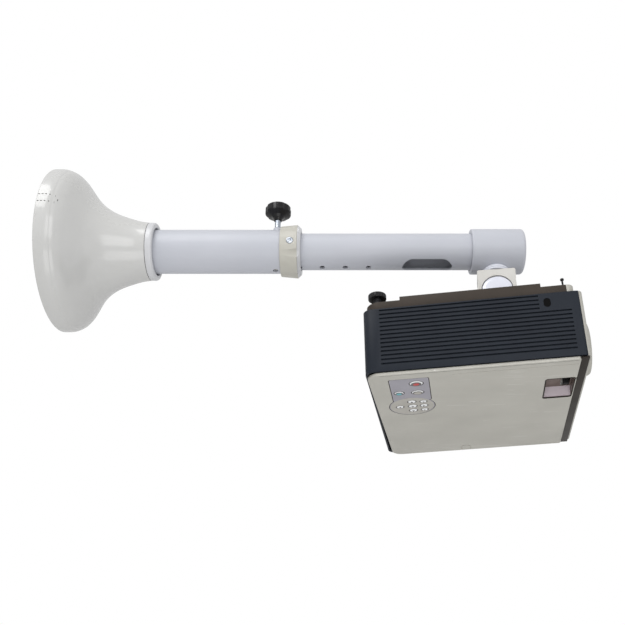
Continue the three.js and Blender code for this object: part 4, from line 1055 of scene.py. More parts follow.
@dataclass
class TiltJoint(Assembly):
    """The swivel boss under the cap, the block that turns on it and the domed knuckle in its arch."""

    boss_bottom: float = -36.7
    boss: float = 19
    half_width: float = 25.5
    half_depth: float = 17
    roof: float = 30.5
    cheek: float = 10
    drum: float = 20.5
    half_web: float = 5.5
    web: float = 15
    bolt: float = 3
    half_stem: float = 12
    stem_drop: float = 52
    roll_drop: float = 42

    def build(self) -> None:
        """Builds the boss, the block and the knuckle with its bolt."""
        self.swivel_boss()
        self.block()
        self.knuckle()
        self.recoat(Paint.ZINC, "swivel_bolt")

    def swivel_boss(self) -> None:
        """The white boss that grows out of the cap."""
        groove = self.boss_bottom + 2.6
        crown = flowing([(groove + 1.2, self.boss), (-31.7, 18.5), (-29.7, 17.1), (-27.9, 15), (-26.1, 12.3)], 5)
        boss = Bench.turned("swivel_boss_casting", [
            (self.boss_bottom, 0), (self.boss_bottom, self.boss, 0.8), (groove - 0.7, self.boss),
            (groove - 0.2, self.boss - 0.9), (groove + 0.2, self.boss - 0.9), (groove + 0.7, self.boss, 0.4),
            *crown, (-26.1, 0)], Axis.Z, (ARM.swivel_x, 0, 0), steps=112)
        along = (ARM.swivel_x - 40, ARM.swivel_x + 40)
        Bench.cut(boss, Bench.rod("saddle", Axis.X, ARM.cap + GAP, along, steps=128),
                  Bench.rod("bore", Axis.Z, STUD_HOLE, (-60, -20), (ARM.swivel_x, 0, 0)))
        self.fit(boss, Paint.WHITE, "extension", "swivel_boss", crisp=40)

    def block(self) -> None:
        """The block with an arch on each side of its web."""
        half, roof, cheek = self.half_width, self.roof, self.cheek
        body = Bench.prism("tilt_block_casting", [
            (0, roof), (half, roof, 2.6), (half - 0.4, roof * 0.4, 8), (half + 0.7, -cheek, 2.4),
            (0, -cheek), (-half - 2.8, -cheek, 3.0), (-half + 0.6, roof * 0.35, 10), (-half, roof, 2.6)],
            (-self.half_depth, self.half_depth), Axis.Y)
        arch = self.drum + 0.6
        for side in (-1, 1):
            near, far = sorted((side * self.half_web, side * (self.half_depth + 1)))
            bore = Bench.rod("arch", Axis.Y, arch, (near, far), steps=96)
            Bench.cut(body, Bench.weld(bore, Bench.slab("way", (-arch, near, -40), (arch, far, 0))))
        below = Bench.slab("below", (-arch, -self.half_web - 1, -40), (arch, self.half_web + 1, arch * 0.7))
        web = Bench.rod("web", Axis.Y, self.web, (-self.half_web, self.half_web), steps=72)
        root = Bench.slab("root", (-self.web, -self.half_web, 0), (self.web, self.half_web, 18))
        Bench.cut(below, Bench.weld(web, root))
        Bench.cut(body, below)
        Bench.cut(body, Bench.rod("bore", Axis.Z, STUD_HOLE, (17.5, 40)),
                  Bench.rod("bore", Axis.Y, PIN_HOLE, (-16, 16)))
        Bench.ease(body, 0.9, segments=3)
        self.fit(body, Paint.BLOCK, "swivel", "tilt_block", place=PLACES.swivelled)

    def knuckle(self) -> None:
        """The white knuckle: a domed disc, its twin, the stem below them and the bolt through them."""
        ear_in, ear_face = self.half_web + 0.5, self.half_depth - 1.6
        dome = Bench.turned("tilt_knuckle_casting", [
            (-ear_in, 0), (-ear_in, self.drum, 0.5), (-ear_face, self.drum, 1.6),
            (-ear_face - 1.5, self.drum * 0.8, 6), (-ear_face - 2.4, self.drum * 0.35, 6),
            (-ear_face - 2.4, 0)], Axis.Y, steps=112)
        back = Bench.rod("ear", Axis.Y, self.drum, (ear_in, ear_face), edge=1.0, steps=96)
        stem = Bench.slab("stem", (-self.half_stem, -ear_face, -self.stem_drop),
                          (self.half_stem, ear_face, -15), edge=0.8)
        Bench.cut(stem, Bench.slab("gap", (-self.half_stem - 1, -ear_in, -16.5),
                                   (self.half_stem + 1, ear_in, 0)))
        Bench.weld(dome, back, stem)
        Bench.cut(dome, Bench.rod("bore", Axis.X, PIN_HOLE, (-20, 20), (0, 0, -self.roll_drop)),
                  Bench.rod("bore", Axis.Y, PIN_HOLE, (-13, 22)))
        self.fit(dome, Paint.DOME, "knuckle", "tilt_knuckle", place=PLACES.tilted, crisp=40)
        bolt = Bench.rod("tilt_bolt_turning", Axis.Y, self.bolt, (-12.5, 17), edge=0.3)
        head = Bench.rod("head", Axis.Y, self.bolt * 2, (ear_face + GAP, ear_face + 4.5), steps=6)
        Bench.ease(head, 0.4)
        Bench.weld(bolt, head)
        self.fit(bolt, Paint.ZINC, "knuckle", "tilt_bolt", place=PLACES.tilted)


# ------------------------------------------------------------ the projector


@dataclass
class Case:
    """Sizes that the projector's pieces share, in its own frame with the lens towards +X."""

    rear: float = -167.3
    front: float = 84.7
    near: float = -142
    far: float = 134
    base_top: float = -68.6
    panel_top: float = -84.0
    panel_bottom: float = -165.4
    face: float = -169.2
    wall: float = 2.6
    rear_corner: float = 20
    front_corner: float = 8
    lens_y: float = -63
    lens_z: float = -120.2
    lens_surround: float = 33.5
    window: tuple[float, float, float, float] = (36.7, -92.5, 71.7, -33.5)
    foot: Point = (-151.3, -118, 0)
    front_pin: Point = (66.7, -126, 0)


CASE = Case()


@dataclass
class HungAssembly(Assembly):
    """A sub-assembly that is modelled in the projector's own frame."""

    def hang(self, piece: Piece, paint: Paint, *nodes: str, body: str = "projector",
             crisp: float = 32) -> None:
        """Finishes one piece of the projector and carries it to its place, as fit does."""
        self.fit(piece, paint, body, *nodes, place=PLACES.hung, crisp=crisp)


@dataclass
class Hanger(HungAssembly):
    """The rolling bracket, the round plate and the flat legs that hold the projector."""

    floor: float = -55.5
    base: float = -60.1
    roll_z: float = -42
    inside: float = 12.5
    outside: float = 17
    plate: float = 52
    plate_bottom: float = -63.0
    leg_top: float = -63.3
    leg_span: tuple[float, float] = (34, 100)
    leg_half: float = 10
    leg_thickness: float = 2.5
    slot_span: tuple[float, float] = (66, 95)
    slot_half: float = 2.7
    screw_at: float = 86
    headings: tuple[float, ...] = (75, 180, 285)

    def build(self) -> None:
        """Builds the bracket, its pin, the plate, and the legs with their screws."""
        outline = [(-14, self.base, 1), (14, self.base, 1), (14, self.roll_z - 1, 3), (9, self.roll_z + 9, 8),
                   (-9, self.roll_z + 9, 8), (-14, self.roll_z - 1, 3)]
        bracket = Bench.prism("roll_bracket_pressing", outline, (-self.outside, self.outside), Axis.X)
        Bench.cut(bracket, Bench.slab("gap", (-self.inside, -20, self.floor), (self.inside, 20, 0)),
                  Bench.rod("bore", Axis.X, PIN_HOLE, (-30, 30), (0, 0, self.roll_z)))
        Bench.ease(bracket, 0.5)
        self.hang(bracket, Paint.WHITE, "roll_bracket")

        centre = (0, 0, self.roll_z)
        pin = Bench.rod("roll_pin_turning", Axis.X, 3, (-20, 20), centre, edge=0.4)
        head = Bench.rod("head", Axis.X, 5.5, (self.outside + GAP, 21), centre, steps=6)
        Bench.ease(head, 0.4)
        self.hang(Bench.weld(pin, head), Paint.ZINC, "roll_pin")

        plate = Bench.rod("mount_plate_pressing", Axis.Z, self.plate, (self.plate_bottom, self.base - GAP),
                          edge=0.5, steps=112)
        self.hang(plate, Paint.WHITE, "mount_plate")
        for number, heading in enumerate(self.headings, 1):
            self.leg(number, heading)

    def leg(self, number: int, heading: float) -> None:
        """One flat leg with a slot, and its screw."""
        turn = PLACES.hung @ Matrix.Rotation(math.radians(heading), 4, "Z")
        (start, end), half = self.leg_span, self.leg_half
        blade = Bench.slab(f"leg_{number}_pressing", (start, -half, self.leg_top - self.leg_thickness),
                           (end, half, self.leg_top), corner=half - 0.1, edge=0.5, steps=12)
        (start, end), half = self.slot_span, self.slot_half
        Bench.cut(blade, Bench.slab("slot", (start, -half, -80), (end, half, -50), corner=half - 0.01, steps=8))
        self.fit(blade, Paint.WHITE, "projector", f"leg_{number}", place=turn)
        screw = Bench.turned(f"leg_screw_{number}_turning", [
            (CASE.base_top + GAP, 0), (CASE.base_top + GAP, 2.2), (self.leg_top + GAP, 2.2),
            (self.leg_top + GAP, 4.2, 0.3), (self.leg_top + 3.4, 4.2, 1.4), (self.leg_top + 3.4, 0)],
            Axis.Z, (self.screw_at, 0, 0))
        for a, b in ((2.2, 0.5), (0.5, 2.2)):
            Bench.cut(screw, Bench.slab("cross", (self.screw_at - a, -b, self.leg_top + 1.8),
                                        (self.screw_at + a, b, -40)))
        self.fit(screw, Paint.ZINC, "projector", f"leg_screw_{number}", place=turn)


@dataclass
class Casing(HungAssembly):
    """The projector's walls, base, top cover and front strip."""

    louvres: int = 14
    louvre_pitch: float = 5.3
    louvre_height: float = 2.1
    louvre_depth: float = 1.9
    short_louvres: int = 4
    shorter_by: float = 35
    lock: tuple[float, float, float, float] = (40.6, 6.5, 4, 11.5)
    mains: tuple[float, ...] = (-102, -74, 22, 43, 2)
    mains_pocket: float = 16
    video: tuple[float, ...] = (-46, -12, 24, 38, 1.2)
    video_pocket: float = 6
    socket_length: float = 22
    base_inset: float = 3.5
    base_rear_step: float = 44
    base_front_step: float = 45
    side_return: float = 22
    bezel: float = 4.6
    base_step: float = 4.6

    def build(self) -> None:
        """Builds every outside piece of the case."""
        self.side("near", -1)
        self.side("far", 1)
        self.rear()
        self.front()
        self.base()
        self.cover()

    def side(self, name: str, side: int) -> None:
        """A side panel that wraps round its rear corner, with its long louvres."""
        edge = CASE.near if side < 0 else CASE.far
        inward = -side
        end = CASE.front - self.bezel
        back = edge + inward * self.side_return
        inside = edge + inward * CASE.wall
        outline = [(CASE.front, back), (CASE.front, edge, CASE.front_corner),
                   (CASE.rear, edge, CASE.rear_corner), (CASE.rear, back), (CASE.rear + CASE.wall, back),
                   (CASE.rear + CASE.wall, inside, CASE.rear_corner - CASE.wall),
                   (CASE.front - CASE.wall, inside, CASE.front_corner - CASE.wall),
                   (CASE.front - CASE.wall, back)]
        panel = Bench.prism(f"{name}_side_moulding", outline, (CASE.panel_bottom + 0.3, CASE.panel_top))
        Bench.cut(panel, Bench.slab("past", (end, CASE.near - 5, CASE.face), (CASE.front + 5, CASE.far + 5, 0)))
        Bench.ease(panel, 0.5, segments=2)
        low, high = sorted((edge - inward, edge + inward * self.louvre_depth))
        tools = []
        for i in range(self.louvres):
            top = CASE.panel_top - 1.8 - i * self.louvre_pitch
            stop = end - 10 - (self.shorter_by if i < self.short_louvres else 0)
            tools.append(Bench.slab("louvre", (-148, low, top - self.louvre_height), (stop, high, top),
                                    corner=1.04, upright=Axis.Y, steps=5))
        Bench.cut(panel, *tools)
        if side < 0:
            from_front, from_top, half, height = self.lock
            x, top = CASE.front - from_front, CASE.panel_top - from_top
            Bench.cut(panel, Bench.slab("lock", (x - half, low, top - height), (x + half, high + 0.3, top),
                                        corner=half - 0.1, upright=Axis.Y))
            half -= 0.1
            # A black sheet set just inside the lock slot: painted shadow of the slot's hollow.
            slot = Bench.slab("lock_slot_painted_shadow", (x - half, low + 1.3, top - height + 0.1),
                              (x + half, low + 2.8, top - 0.1), corner=half - 0.1, upright=Axis.Y)
            self.hang(slot, Paint.VOID)
        self.hang(panel, Paint.PANEL, f"{name}_side_panel")

    def rear(self) -> None:
        """The rear panel with its two sockets."""
        span = (CASE.near + self.side_return + 0.3, CASE.far - self.side_return - 0.3)
        panel = Bench.slab("rear_moulding", (CASE.rear, span[0], CASE.panel_bottom + 0.3),
                           (CASE.rear + CASE.wall, span[1], CASE.panel_top), edge=0.4)
        for low, high, bottom, top, _ in (self.mains, self.video):
            Bench.cut(panel, Bench.slab("opening", (CASE.rear - 1, low, CASE.panel_bottom + bottom),
                                        (CASE.rear + 5, high, CASE.panel_bottom + top)))
        self.hang(panel, Paint.PANEL, "rear_panel")
        self.socket("mains_inlet", self.mains, self.mains_pocket, Paint.INSIDE)
        self.socket("video_socket", self.video, self.video_pocket, Paint.ZINC)
        pins = [Bench.slab("pin", (CASE.rear + 3, y - 1, z - 2), (CASE.rear + 17, y + 1, z + 2), edge=0.3)
                for y, z in ((-95, -134.5), (-81, -134.5), (-88, -131))]
        self.hang(Bench.gather("mains_inlet_pins", pins), Paint.ZINC)
        block = Bench.slab("video_socket_insert", (CASE.rear + 2, -41, -138), (CASE.rear + 7, -17, -131),
                           corner=0, edge=0.6)
        holes = [Bench.rod("way", Axis.X, 0.7, (CASE.rear, CASE.rear + 5), (0, -37.5 + 4.2 * i, z), steps=12)
                 for z in (-136.4, -134.5, -132.6) for i in range(5)]
        self.hang(Bench.cut(block, *holes), Paint.INSIDE)

    def socket(self, name: str, opening: tuple[float, ...], pocket: float, paint: Paint) -> None:
        """A socket's shell in one opening of the rear panel."""
        low, high, bottom, top, corner = opening
        shell = Bench.slab(f"{name}_shell", (CASE.rear + 0.4, low + 0.3, CASE.panel_bottom + bottom + 0.3),
                           (CASE.rear + self.socket_length, high - 0.3, CASE.panel_bottom + top - 0.3), edge=0.3)
        Bench.cut(shell, Bench.slab("pocket", (CASE.rear - 1, low + 2.3, CASE.panel_bottom + bottom + 2.3),
                                    (CASE.rear + pocket, high - 2.3, CASE.panel_bottom + top - 2.3),
                                    edge=corner * 0.4))
        self.hang(shell, paint, name)

    def front(self) -> None:
        """The silver front and the dark strip between it and the cover."""
        back = CASE.front - self.bezel + 0.3
        inner = CASE.wall
        root = CASE.front - 20
        outline = [(root, CASE.near), (CASE.front, CASE.near, CASE.front_corner),
                   (CASE.front, CASE.far, CASE.front_corner), (root, CASE.far), (root, CASE.far - inner),
                   (CASE.front - inner, CASE.far - inner, 5.4), (CASE.front - inner, CASE.near + inner, 5.4),
                   (root, CASE.near + inner)]
        bezel = Bench.prism("front_bezel_moulding", outline, (CASE.panel_bottom + 0.3, CASE.panel_top))
        Bench.cut(bezel, Bench.slab("behind", (root - 5, CASE.near - 5, CASE.face), (back, CASE.far + 5, 0)))
        hole = Bench.rod("hole", Axis.X, CASE.lens_surround + 0.4, (CASE.front - 20, CASE.front + 5),
                         (0, CASE.lens_y, CASE.lens_z), steps=96)
        Bench.cut(bezel, hole)
        Bench.ease(bezel, 0.6)
        self.hang(bezel, Paint.SILVER, "front_bezel")
        strip = Bench.slab("front_trim_moulding", (73.2, -138.8, CASE.face + 1.2),
                           (82.1, 130.8, CASE.panel_bottom), edge=0.6)
        self.hang(strip, Paint.TRIM, "front_trim")

    def base(self) -> None:
        """The base under the hanger, with lower steps at its rear and front."""
        bottom = CASE.panel_top + 0.3
        inset = self.base_inset
        body = Bench.slab("bottom_case_moulding", (CASE.rear + inset, CASE.near + inset, bottom),
                          (CASE.front - 8, CASE.far - inset, CASE.base_top),
                          corner=(CASE.rear_corner - inset, CASE.front_corner + 2), steps=10)
        step = CASE.base_top - self.base_step
        ends = ((CASE.rear - 5, CASE.rear + self.base_rear_step),
                (CASE.front - self.base_front_step, CASE.front + 5))
        Bench.cut(body, *(Bench.slab("step", (start, CASE.near - 5, step), (end, CASE.far + 5, 0))
                          for start, end in ends))
        Bench.cut(body, Bench.rod("hole", Axis.Z, 5.1, (bottom - 5, 0), CASE.foot),
                  Bench.rod("hole", Axis.Z, 1.4, (bottom - 5, 0), CASE.front_pin))
        Bench.cut(body, Bench.slab("end", (67.9, CASE.near - 5, bottom - 5), (CASE.front, CASE.far + 5, 0)))
        Bench.ease(body, 1.1)
        self.hang(body, Paint.BASE, "bottom_case")
        cap = Bench.slab("base_front_cap", (68.2, CASE.near + inset, bottom),
                         (CASE.front - 8, CASE.far - inset, step), corner=(0.5, CASE.front_corner),
                         edge=0.2, steps=10)
        Bench.ease(cap, 2.6, segments=6)
        self.hang(cap, Paint.SILVER)

    def cover(self) -> None:
        """The silver top cover, which faces down, with its window, seam, latch mark and recesses."""
        outline = [(-165.8, -139.8, 14), (72.9, -139.8, 3), (72.9, 131.8, 3), (-161, 131.8, 14)]
        plate = Bench.prism("top_cover_moulding", outline, (CASE.face, CASE.panel_bottom), edge=0.9)
        x_low, y_low, x_high, y_high = CASE.window
        window = Bench.slab("window", (x_low, y_low, CASE.face - 1), (x_high, y_high, CASE.panel_bottom + 1),
                            corner=4, steps=10)
        lip = (-151, -136.9, 70.5, -136.1)
        groove = Bench.slab("groove", (lip[0], lip[1], CASE.face - 1), (lip[2], lip[3], CASE.face + 0.8))
        Bench.cut(plate, groove)
        # A near-black strip laid in the groove under the cover's lip: painted shade of the groove.
        lip_seam = Bench.slab("cover_lip_painted_shadow", (lip[0] + 0.05, lip[1] + 0.05, CASE.face + 0.15),
                              (lip[2] - 0.05, lip[3] - 0.05, CASE.face + 0.7), edge=0.1)
        self.hang(lip_seam, Paint.SEAM)
        notch = Bench.rod("notch", Axis.Z, 3, (CASE.face - 1, CASE.panel_bottom + 1), (73.5, -88, 0))
        Bench.cut(plate, window)
        Bench.cut(plate, notch)
        seam = Bench.slab("seam", (-69.5, -127.8, CASE.face - 1), (71, -127.2, CASE.face + 0.4))
        label = Bench.slab("label", (29.8, 76, CASE.face - 1), (71, 129.5, CASE.face + 0.25), corner=2)
        latch = Bench.slab("latch", (-64.6, 112.5, CASE.face - 1), (-50.8, 131, CASE.face + 0.7), corner=6)
        Bench.cut(latch, Bench.slab("inner", (-63.5, 113.6, CASE.face - 2), (-51.9, 133, CASE.face + 1),
                                    corner=5))
        Bench.cut(plate, seam, label, latch)
        keypad = KeyPad()
        Bench.cut(plate, keypad.shape("recess", 0.6, CASE.face - 1, CASE.face + 1.0))
        Bench.cut(plate, *keypad.holes(CASE.panel_bottom + 1))
        self.hang(plate, Paint.SILVER, "top_cover")


@dataclass
class KeyPad(HungAssembly):
    """The lilac inlay with its keys: three round buttons on the square part, arrow keys on the oval."""

    corner: tuple[float, float] = (-142.3, -124)
    square: tuple[float, float] = (46, 64)
    pad: tuple[float, float, float, float] = (21.5, 81, 28, 27)
    rim_gap: float = 1.2
    key_rise: float = 0.7
    places: dict[str, tuple[float, float, float, float]] = field(default_factory=lambda: {
        "power_button": (31, 14.5, 7.6, 6.4), "source_button": (31, 40, 6.8, 5.2),
        "menu_button": (9, 39, 5.4, 4.6), "key_up": (22, 67, 4.6, 3.4), "key_left": (6.5, 81, 4.2, 3.4),
        "key_enter": (22, 81, 5, 3.8), "key_right": (36, 81, 4.2, 3.4), "key_down": (22, 94.5, 4.6, 3.4),
        "key_auto": (36, 68.5, 3.8, 2.8), "key_blank": (36, 94, 3.8, 2.8)})

    def spot(self, name: str) -> tuple[float, float, float, float]:
        """A key's centre in the projector's frame and its two radii."""
        x, y, radius_x, radius_y = self.places[name]
        return self.corner[0] + x, self.corner[1] + y, radius_x, radius_y

    def shape(self, name: str, grow: float, low: float, high: float) -> Piece:
        """The inlay's outline raised between two heights."""
        x, y = self.corner
        long, wide = self.square
        square = Bench.slab(name, (x - grow, y - grow, low), (x + long + grow, y + wide + grow, high),
                            corner=2.5)
        pad_x, pad_y, radius_x, radius_y = self.pad
        outline = oval((x + pad_x, y + pad_y), (radius_x + grow, radius_y + grow), 72)
        pad = Bench.prism("pad", outline, (low, high))
        return Bench.weld(square, pad)

    def holes(self, top: float, grow: float = 0.3) -> list[Piece]:
        """A cutter for each key."""
        return [Bench.prism("hole", oval((x, y), (rx + grow, ry + grow), 32), (CASE.face - 2, top))
                for x, y, rx, ry in map(self.spot, self.places)]

    def build(self) -> None:
        """Builds the inlay, its oval pad, the keys and their marks."""
        above = CASE.face + 5
        plate = self.shape("control_panel_inlay", -0.3, CASE.face + 0.1, CASE.face + 0.6)
        Bench.cut(plate, *self.holes(above, self.rim_gap))
        self.hang(plate, Paint.INLAY, "control_panel")
        # A near-black ring round the inlay's edge: painted shadow of the gap between the inlay and the cover.
        shadow = self.shape("control_panel_gap", 0.5, CASE.face + 0.35, CASE.face + 0.95)
        Bench.cut(shadow, self.shape("way", -0.35, CASE.face - 1, CASE.face + 2))
        self.hang(shadow, Paint.SEAM)
        # Near-black rings round the keys: painted shadow of the gaps round them.
        rims = [Bench.prism("rim", oval((x, y), (rx + 1.15, ry + 1.15), 48), (CASE.face + 0.2, CASE.face + 0.7))
                for x, y, rx, ry in map(self.spot, self.places)]
        rim = Bench.gather("key_painted_shadow_rims", rims)
        Bench.cut(rim, *self.holes(above, 0.1))
        self.hang(rim, Paint.SEAM)
        pad_x, pad_y, radius_x, radius_y = self.pad
        centre = (self.corner[0] + pad_x, self.corner[1] + pad_y)
        outline = oval(centre, (radius_x - 1.2, radius_y - 1.2), 72)
        pad = Bench.prism("arrow_pad", outline, (CASE.face, CASE.face + 0.3))
        Bench.cut(pad, *self.holes(above, self.rim_gap))
        self.hang(pad, Paint.PAD)
        for name in self.places:
            self.key(name)
        self.ring_marks()
        self.arrows()

    def key(self, name: str) -> None:
        """One oval key with a soft crown."""
        x, y, radius_x, radius_y = self.spot(name)
        top = CASE.face - self.key_rise
        key = Bench.turned(f"{name}_moulding", [
            (CASE.face + 6, 0), (CASE.face + 6, radius_x), (CASE.face, radius_x, 0.5), (top, radius_x * 0.75, 1),
            (top, 0)], Axis.Z, (x, y, 0), steps=64)
        Bench.squeeze(key, (x, y, 0), (1, radius_y / radius_x, 1))
        self.hang(key, Paint.KEY, name, body=name)

    def disc(self, name: str, key: str, share: float, height: float, paint: Paint) -> None:
        """A thin printed oval on a key."""
        x, y, radius_x, radius_y = self.spot(key)
        top = CASE.face - height
        disc = Bench.prism(name, oval((x, y), (radius_x * share, radius_y * share)),
                           (top, CASE.face - self.key_rise))
        self.hang(disc, paint, body=key)

    def ring_marks(self) -> None:
        """The ringed centres of the three round buttons."""
        marks = {"power": (0.8, 0.46, Paint.RED), "source": (0.84, 0.66, Paint.PAD),
                 "menu": (0.84, 0.62, Paint.TEAL)}
        for key, (ring, centre, paint) in marks.items():
            self.disc(f"{key}_ring_mark", f"{key}_button", ring, 1.02, Paint.MARK)
            self.disc(f"{key}_centre_mark", f"{key}_button", centre, 1.1, paint)

    def arrows(self) -> None:
        """Plain arrow marks on the four direction keys, and small dots on the other three."""
        headings = {"key_right": 0, "key_down": 90, "key_left": 180, "key_up": 270}
        for name, heading in headings.items():
            x, y, *_ = self.spot(name)
            mark = Bench.prism(f"{name}_arrow", [(1.9, 0, 0.2), (-1.3, 1.8, 0.2), (-1.3, -1.8, 0.2)],
                               (CASE.face - 1.04, CASE.face - self.key_rise))
            turn = Matrix.Translation((x * MM, y * MM, 0)) @ Matrix.Rotation(math.radians(heading), 4, "Z")
            self.fit(mark, Paint.MARK, name, place=PLACES.hung @ turn)
        for name in ("key_enter", "key_auto", "key_blank"):
            self.disc(f"{name}_dot", name, 0.3, 1.04, Paint.MARK)


@dataclass
class Lens(HungAssembly):
    """The lens with its surround, its zoom and focus rings and the liner of their window."""

    barrel: float = 24
    barrel_span: tuple[float, float] = (37.7, 81.4)
    ring: float = 33
    zoom_span: tuple[float, float] = (57.2, 70.2)
    focus_span: tuple[float, float] = (40.7, 55.7)
    lever_span: tuple[float, float] = (60.2, 67.2)
    ribs: int = 48

    def build(self) -> None:
        """Builds the lens pieces about their own axis."""
        centre = (0, CASE.lens_y, CASE.lens_z)
        start, end, radius = CASE.front - 8, CASE.front + 10, CASE.lens_surround
        surround = Bench.turned("lens_surround_moulding", [
            (start + 3, radius), (start, radius, 0.5), (start, 26.5), (start + 9, 26.5, 0.6),
            (end - 1.2, radius - 5.6, 0.8), (end, radius - 4.4, 0.8),
            (end - 0.8, radius - 2.2, 1.0), (end - 3.0, radius - 0.8, 1.2),
            (CASE.front + 1.5, radius, 0.6), (start + 3, radius)], Axis.X, centre, steps=112)
        self.hang(surround, Paint.SILVER, "lens_surround")
        inner = Bench.ring("lens_inner_ring", Axis.X, (25.2, 26.4), (CASE.front - 3, CASE.front + 0.9),
                           centre, 0.3)
        self.hang(inner, Paint.RUBBER)
        barrel = Bench.rod("lens_barrel_turning", Axis.X, self.barrel, self.barrel_span, centre, edge=0.6,
                           steps=80)
        self.hang(barrel, Paint.INSIDE, "lens_barrel")
        crown = flowing([(83.2, 24.6), (86.0, 19.2), (88.2, 11.5), (89.2, 0)], 6)
        glass = Bench.turned("front_lens_glass", [(81.7, 0), (81.7, 25), (83.2, 25, 0.3), *crown],
                             Axis.X, centre, steps=112)
        self.hang(glass, Paint.GLASS, "front_lens")
        self.zoom(centre)
        self.focus(centre)
        self.window()

    def zoom(self, centre: Point) -> None:
        """The zoom ring with its lever."""
        ring = Bench.ring("zoom_ring_moulding", Axis.X, (self.barrel + GAP, self.ring), self.zoom_span,
                          centre, 0.6, steps=112)
        root = CASE.lens_z - self.ring + 1
        start, end = self.lever_span
        lever = Bench.slab("lever", (start, CASE.lens_y - 2.5, root - 12), (end, CASE.lens_y + 2.5, root),
                           edge=1.0)
        Bench.weld(ring, lever)
        self.hang(ring, Paint.INSIDE, "zoom_ring", body="zoom")

    def focus(self, centre: Point) -> None:
        """The ribbed focus ring."""
        radius = self.ring + 1
        ring = Bench.ring("focus_ring_moulding", Axis.X, (self.barrel + GAP, radius), self.focus_span,
                          centre, 0.6, steps=144)
        groove = Bench.rod("groove", Axis.X, 0.8, (42.5, 53.9), (0, CASE.lens_y + radius + 0.1, CASE.lens_z),
                           steps=10)
        Bench.cut(ring, *Bench.around(groove, Axis.X, self.ribs, 0, centre))
        self.hang(ring, Paint.TRIM, "focus_ring", body="focus", crisp=40)

    def window(self) -> None:
        """The dark liner round the window over the rings."""
        low, high = CASE.face + 0.25, CASE.panel_bottom + 8
        liner = self.pane("window_liner", 0.2, low + 1.3, high, 3.8, edge=0.3)
        Bench.cut(liner, self.pane("way", 1.2, low - 1, high - 1, 3.2))
        Bench.cut(liner, Bench.slab("lever_way", (58.2, -81, low - 1), (69.2, -45, high + 1), corner=3, steps=8))
        self.hang(liner, Paint.WINDOW)
        # The ledge is painted light lilac: a painted highlight on the far slope of the window's well.
        ledge = Bench.prism("window_ledge", [(-44.5, high - 1.05), (-34.8, high - 1.05), (-34.8, low + 1.2, 0.6),
                                             (-38, low + 1.6, 1.0)], (38.0, 70.4), Axis.X)
        self.hang(ledge, Paint.LEDGE_HIGHLIGHT)
        rim = self.pane("window_rim", 0.05, low, low + 1.2, 3.9)
        Bench.cut(rim, Bench.slab("way", (38.3, -90.4, low - 1), (70.9, -34.6, low + 2), corner=2.6, steps=10))
        self.hang(rim, Paint.SEAM)

    @staticmethod
    def pane(name: str, inset: float, low: float, high: float, corner: float,
             edge: float = 0) -> Piece:
        """A block with the window's outline drawn in by an inset."""
        x_low, y_low, x_high, y_high = CASE.window
        return Bench.slab(name, (x_low + inset, y_low + inset, low), (x_high - inset, y_high - inset, high),
                          corner=corner, edge=edge, steps=10)


@dataclass
class Feet(HungAssembly):
    """The knurled rear foot on its screw, and the slim front pin."""

    wheel: float = 11
    wheel_span: tuple[float, float] = (-58.7, -52.2)
    screw: float = 4.8
    screw_pitch: float = 1.5

    def build(self) -> None:
        """Builds both feet."""
        centre = CASE.foot
        bottom, top = self.wheel_span
        stem = Bench.rod("foot_screw_turning", Axis.Z, self.screw, (-80, bottom + 2), centre, edge=0.4, steps=40)
        groove = Bench.ring("groove", Axis.Z, (self.screw - 0.5, 7), (-72.4, -71.8), centre, steps=40)
        Bench.cut(stem, *Bench.row(groove, Axis.Z, 8, self.screw_pitch))
        self.hang(stem, Paint.OXIDE, "foot_screw", body="rear_foot_screw")
        wheel = Bench.turned("foot_wheel_moulding", [
            (bottom, 5.1), (bottom, self.wheel, 0.8), (top, self.wheel, 1.2), (top, 0), (bottom + 2.3, 0),
            (bottom + 2.3, 5.1), (bottom, 5.1)], Axis.Z, centre, steps=96)
        rim = (centre[0] + self.wheel + 0.25, centre[1], 0)
        notch = Bench.rod("notch", Axis.Z, 0.8, (bottom - 1, top + 1), rim, steps=12)
        Bench.cut(wheel, *Bench.around(notch, Axis.Z, 24, 0, centre))
        self.hang(wheel, Paint.BLACK, "foot_wheel", body="rear_foot_wheel")
        pin = Bench.turned("front_pin_turning", [
            (-81, 0), (-81, 1.1), (-60.2, 1.1, 0.4), (-60.2, 2.2, 0.4), (-57.8, 2.2, 0.9), (-57.8, 0)],
            Axis.Z, CASE.front_pin, steps=32)
        self.hang(pin, Paint.BLACK, "front_pin", body="front_foot")


@dataclass
class Insides(Assembly):
    """The units inside the case, which keep their CAD shapes."""

    def build(self) -> None:
        """Gives each unit its finish."""
        self.recoat(Paint.STEEL, "light_engine")
        self.recoat(Paint.LAMP, "lamp_module")
        self.recoat(Paint.BOARD, "main_board")
        self.recoat(Paint.INSIDE, "fan_frame", "fan_rotor")


# ------------------------------------------------------------ studio


